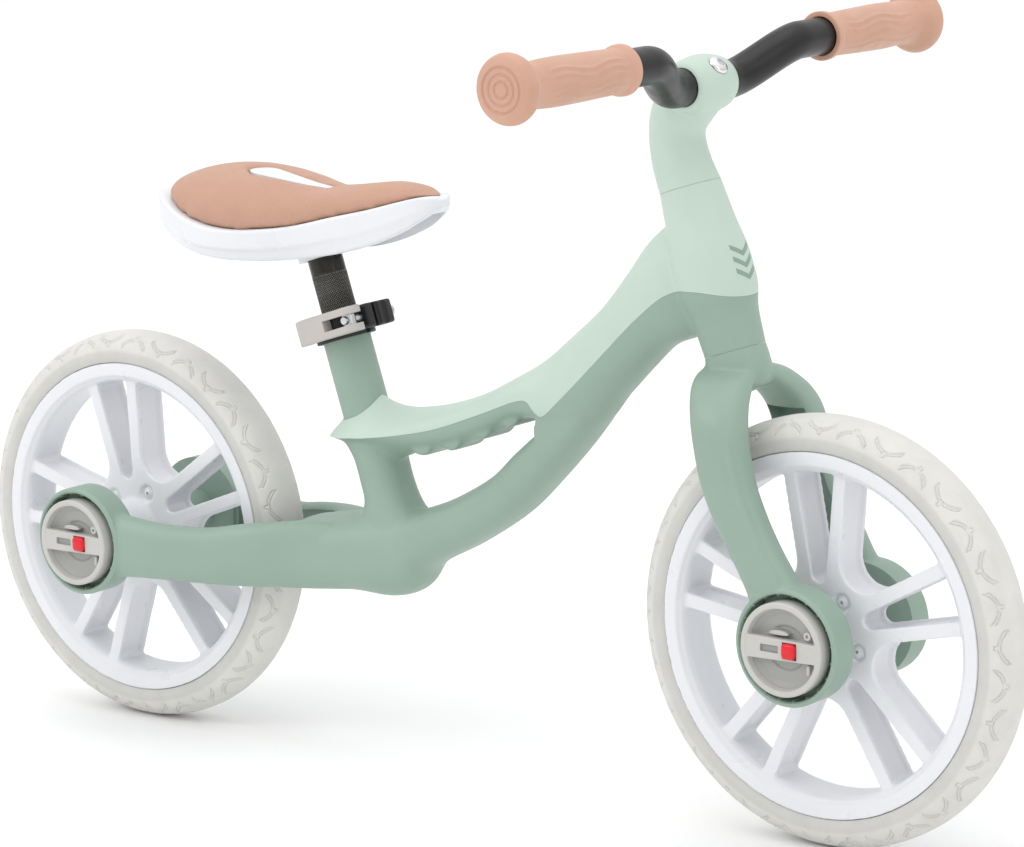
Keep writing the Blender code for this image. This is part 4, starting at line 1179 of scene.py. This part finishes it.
def base_section():
    """Flat top with a rounded shoulder, a side wall, a crease and a flank that leans in."""
    half = eased([(0, 1), (1.0, 1), (1.0, 0.42), (0.955, 0.36), (0.86, 0), (0, 0)], 0.07, count=6)
    half = [tuple(p) for p in spaced(half, 0.12)]
    return half + [(-a, b) for a, b in reversed(half[1:-1])]


def build_seat_base():
    shell = loft(saddle_rings(SEAT_BASE, base_section()))
    socket = loft(side_rings(SEAT_SOCKET, 4, 48, 2.2))
    base = mould([shell, copied(socket)], 1.1, 3)
    inner = [(x, half - 3.5, low, high) for x, half, low, high in SEAT_BASE[1:-1]]
    outline = [(0.9, 0.8), (0.45, 0.85), (-0.45, 0.85), (-0.9, 0.8), (-0.78, -0.5), (0, -0.5), (0.78, -0.5)]
    cut(base, loft(saddle_rings(inner, outline)))
    carve(base, "UNION", socket, slot_floor())
    cut(base, rod(POST_R + GAP, 40, POST_TOP + 0.5, SEAT_FRAME))
    keep(base, "seat_base", "seat", WHITE_PLASTIC)


def slot_points(grow):
    """A teardrop: a big round end at the back and a small one in front."""
    back, front, big, small = SLOT
    start, end = back + big, front - small
    return arc((start, 0), big + grow, 95, 265, 25) + arc((end, 0), small + grow, -85, 85, 13)


def upright_slot(grow, low=300):
    return prism(slot_points(grow), low, 400, Matrix.Translation((REAR.x, 0, 0)))


def slot_floor():
    """The white island of the base that fills the pad's slot to just under its surface."""
    low, high = np.array(PAD_TOP).T
    places = np.linspace(SLOT[0] - 6, SLOT[1] + 6, 20)
    rows = [(x, 26, 336, np.interp(x, low, high) - SLOT_SINK) for x in places]
    shape = [(1, 0), (1, 1), (0.5, 1), (0, 1), (-0.5, 1), (-1, 1), (-1, 0)]
    island = loft(saddle_rings(rows, shape, 2))
    return carve(island, "INTERSECT", upright_slot(-0.9, 330))


def pad_rings():
    base = smooth_rows(SEAT_BASE, 6)
    ends = base[0, 0], base[-1, 0]
    crown = smooth_rows(PAD_TOP, 6)
    angles = np.linspace(0, pi, 41)
    shape = [(cos(a), sin(a) ** 0.7) for a in angles] + [(b, 0) for b in np.linspace(-0.9, 0.9, 13)]
    rings = []
    for x, half, *_ in base:
        t = (x - ends[0]) / (ends[1] - ends[0])
        where = ends[0] + PAD_BACK_INSET + (ends[1] - ends[0] - PAD_BACK_INSET - PAD_INSET) * t
        under = np.interp(where, base[:, 0], base[:, 3]) - 0.4
        height = max(np.interp(where, crown[:, 0], crown[:, 1]) - PAD_SLACK - under, 1.5)
        width = half - PAD_INSET * min(1, half / 12)
        rings.append(place_all([(where, width * a, under + height * b) for a, b in shape]))
    return rings


def inflate(pad, pressure, cap):
    """Let the skin swell like a filled cover, its underside held to the base, and move at most cap."""
    group = pad.vertex_groups.new(name="held")
    rest = np.array([v.co for v in pad.data.vertices])
    held = [v.index for v in pad.data.vertices if v.normal.z < -0.5]
    group.add(held, 1.0, "REPLACE")
    cloth = pad.modifiers.new("cloth", "CLOTH")
    cloth.settings.vertex_group_mass = "held"
    cloth.settings.use_pressure = True
    cloth.settings.uniform_pressure_force = pressure
    cloth.settings.effector_weights.gravity = 0
    cloth.point_cache.frame_start = 1
    cloth.point_cache.frame_end = 20
    for number in range(1, 21):
        scene.frame_set(number)
    deps = bpy.context.evaluated_depsgraph_get()
    swollen = np.array([v.co for v in pad.evaluated_get(deps).data.vertices])
    move = swollen - rest
    size = np.linalg.norm(move, axis=1, keepdims=True)
    move *= np.minimum(1, cap / np.maximum(size, 1e-9))
    pad.modifiers.clear()
    pad.data.vertices.foreach_set("co", (rest + move).ravel())
    scene.frame_set(1)
    pad.vertex_groups.clear()


def build_seat_pad():
    pad = loft(pad_rings())
    cut(pad, upright_slot(0))
    pad = mould([pad], 3.0, 4)
    inflate(pad, 4, 5 * MM)
    add_rounding(pad, 3)
    finer = pad.modifiers.new("finer", "SUBSURF")
    finer.levels = 1
    finer.render_levels = 1
    bake(pad)
    keep(pad, "seat_pad", "seat", SEAT_SKIN, 60)


def knurl(angle, radius, height):
    """Crossed spiral grooves below a plain band at the top of the post."""
    count = 44
    pitch = 2 * pi * POST_R / count
    turn = angle * count / (2 * pi)
    climb = height / pitch
    one = abs((turn + climb) % 1 - 0.5) * 2
    other = abs((turn - climb) % 1 - 0.5) * 2
    groove = np.maximum(1 - one / 0.5, 1 - other / 0.5).clip(0, 1)
    zone = (height < KNURL_HIGH) & (height > KNURL_LOW) & (radius > POST_R - 0.5)
    return -KNURL_DEPTH * groove * zone


def build_seat_post():
    wall = 1.6
    outer = spaced([(POST_R, POST_TOP), (POST_R, KNURL_HIGH + 2), (POST_R, KNURL_HIGH)], 4)
    band = spaced([(POST_R, KNURL_HIGH), (POST_R, KNURL_LOW)], 0.3)
    foot = [(POST_R, POST_BOTTOM), (POST_R - wall, POST_BOTTOM), (POST_R - wall, POST_TOP)]
    profile = [*outer, *band[1:], *foot]
    post = turned(profile, SEAT_FRAME, 352, ring=True, relief=knurl)
    keep(post, "seat_post", "seat", POST_COAT, 50)
    post.data.materials.append(KNURL_STEEL)
    back = SEAT_FRAME.inverted()
    for face in post.data.polygons:
        x, y, z = (back @ face.center) / MM
        if KNURL_LOW < z < KNURL_HIGH and POST_R - 0.17 < hypot(x, y) < POST_R + 0.1:
            face.material_index = 1


# ---- seat clamp

def build_clamp():
    height = CLAMP_BOLT[1]
    low, high = CLAMP_BOTTOM, CLAMP_TOP
    inner, outer = SEAT_TUBE_R + GAP, 18.8
    band = [(inner, high), (outer, high), (outer, low), (inner, low)]
    collar = turned(eased(band, 0.8, True), SEAT_FRAME, 128, ring=True)
    carve(collar, "UNION", block((16.5, -8.5, height - 7.5), (29, 16, height + 7.5), SEAT_FRAME, 1.6))
    cut(collar, block((10, -1.5, low - 5), (40, 1.5, high + 5), SEAT_FRAME))
    for y, reach in ((0, 3.0), (8.2, 2.2)):
        cut(collar, rod(reach, low - 5, high + 5, SEAT_FRAME @ offset(29.6, y), 40))
    cut(collar, rod(2.9, -40, 40, CLAMP_BOLT_FRAME, 32))
    keep(collar, "clamp_collar", "frame", BLACK_PLASTIC)
    build_lever()
    bolt = [(0, 21.5), (2.5, 21.2), (4.2, 20), (4.8, 18.5), (4.8, 17.3), (2.5, 17.3), (2.5, -24.5),
            (0, -24.5)]
    keep(turned(eased(bolt, 0.4), CLAMP_BOLT_FRAME, 48), "clamp_bolt", "frame", ZINC)
    barrel = [(0, 6.4), (4.2, 6.4), (4.2, -6.4), (0, -6.4)]
    nut = turned(eased(barrel, 0.5), LEVER_FRAME, 48)
    cut(nut, rod(2.8, -40, 40, CLAMP_BOLT_FRAME, 32))
    keep(nut, "clamp_barrel_nut", "frame", ZINC)


def build_lever():
    """A curved lever on the barrel nut, forked round the bolt, that lies round the tube when closed."""
    x, height = CLAMP_BOLT
    head = arc((x, LEVER_PIVOT_Y), 8.2, 118, -78, 26)
    back = arc((0, 0), 27.5, -66, -142, 24)
    tail = [(-24.5, -15.5)]
    front = arc((0, 0), 20.2, -146, -52, 28)
    points = [(px - x, py - LEVER_PIVOT_Y) for px, py in head + back + tail + front]
    half = LEVER_HALF_HEIGHT
    lever = prism(points, -half, half, LEVER_FRAME, 0.9)
    cut(lever, rod(4.5, -20, 20, LEVER_FRAME, 48))
    cut(lever, block((7, -40, height - 3.4), (40, 0, height + 3.4), SEAT_FRAME))
    keep(lever, "clamp_lever", "clamp_lever", LEVER_PLASTIC)


# ---- pieces that stay as packed

def finish_inner_pieces():
    for name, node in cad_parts.items():
        if node.hide_render:
            continue
        material = BLACK_PLASTIC if "bush" in name else ZINC
        for slot in node.material_slots:
            slot.material = material


# ---- stage

HORIZON_GLOW = 0.62
ZENITH_GLOW = 1.27


def build_camera():
    azimuth, elevation, roll = (radians(a) for a in (38.121, 11.196, -1.217))
    back = Vector((sin(azimuth) * cos(elevation), -cos(azimuth) * cos(elevation),
                   sin(elevation)))
    right = Vector((cos(azimuth), sin(azimuth), 0))
    up = back.cross(right)
    across = cos(roll) * right + sin(roll) * up
    upward = cos(roll) * up - sin(roll) * right
    data = bpy.data.cameras.new("camera")
    data.sensor_width = 36
    data.lens = 149.12
    data.clip_end = 100
    camera = linked("camera", data)
    turn = Matrix((across, upward, back)).transposed().to_4x4()
    camera.matrix_world = Matrix.Translation(place(1853.95, -1977.19, 721.85)) @ turn
    scene.camera = camera


def build_floor():
    mesh = bmesh.new()
    bmesh.ops.create_grid(mesh, x_segments=4, y_segments=4, size=30)
    floor = made_of(mesh, "floor")
    floor.location = (0, 0, -0.0005)
    finish = Finish("studio_floor", Specular_IOR_Level=0.2, Roughness=0.7)
    finish.colour(finish.ramp(finish.noise(0.6, 3), (0.3, (0.93, 0.93, 0.93)), (0.7, (0.95, 0.95, 0.95))))
    floor.data.materials.append(finish.material)


def area_light(name, where, size, power):
    data = bpy.data.lights.new(name, "AREA")
    data.shape = "RECTANGLE"
    data.size, data.size_y = size
    data.energy = power
    light = linked(name, data)
    light.location = where
    light.rotation_euler = (Vector((0, 0, 0.22)) - Vector(where)).to_track_quat("-Z", "Y").to_euler()


def build_lights():
    """A studio tent: pale all round, and brighter overhead."""
    world = bpy.data.worlds.new("studio")
    world.use_nodes = True
    nodes, links = world.node_tree.nodes, world.node_tree.links
    direction = nodes.new("ShaderNodeTexCoord").outputs["Generated"]
    split = nodes.new("ShaderNodeSeparateXYZ")
    links.new(direction, split.inputs[0])
    height = nodes.new("ShaderNodeMath")
    height.operation = "POWER"
    height.use_clamp = True
    height.inputs[1].default_value = 0.7
    links.new(split.outputs["Z"], height.inputs[0])
    glow = nodes.new("ShaderNodeMapRange")
    glow.inputs["To Min"].default_value = HORIZON_GLOW
    glow.inputs["To Max"].default_value = ZENITH_GLOW
    links.new(height.outputs[0], glow.inputs["Value"])
    links.new(glow.outputs[0], nodes["Background"].inputs["Strength"])
    nodes["Background"].inputs["Color"].default_value = (1, 1, 1, 1)
    scene.world = world
    area_light("key", (-1.4, -2.2, 2.0), (1.4, 1.4), 15)
    area_light("top", (0.3, -0.2, 2.6), (2.0, 2.0), 10)
    area_light("side", (2.6, -0.4, 1.2), (0.8, 1.8), 3)
    scene.view_settings.view_transform = "Standard"


# ---- build

build_camera()
build_floor()
build_lights()
mint_shell = build_frame()
build_head_mark(mint_shell)
build_fork()
build_stem()
build_handlebar()
build_grips()
build_wheels()
build_locks()
build_seat_base()
build_seat_pad()
build_seat_post()
build_clamp()
finish_inner_pieces()
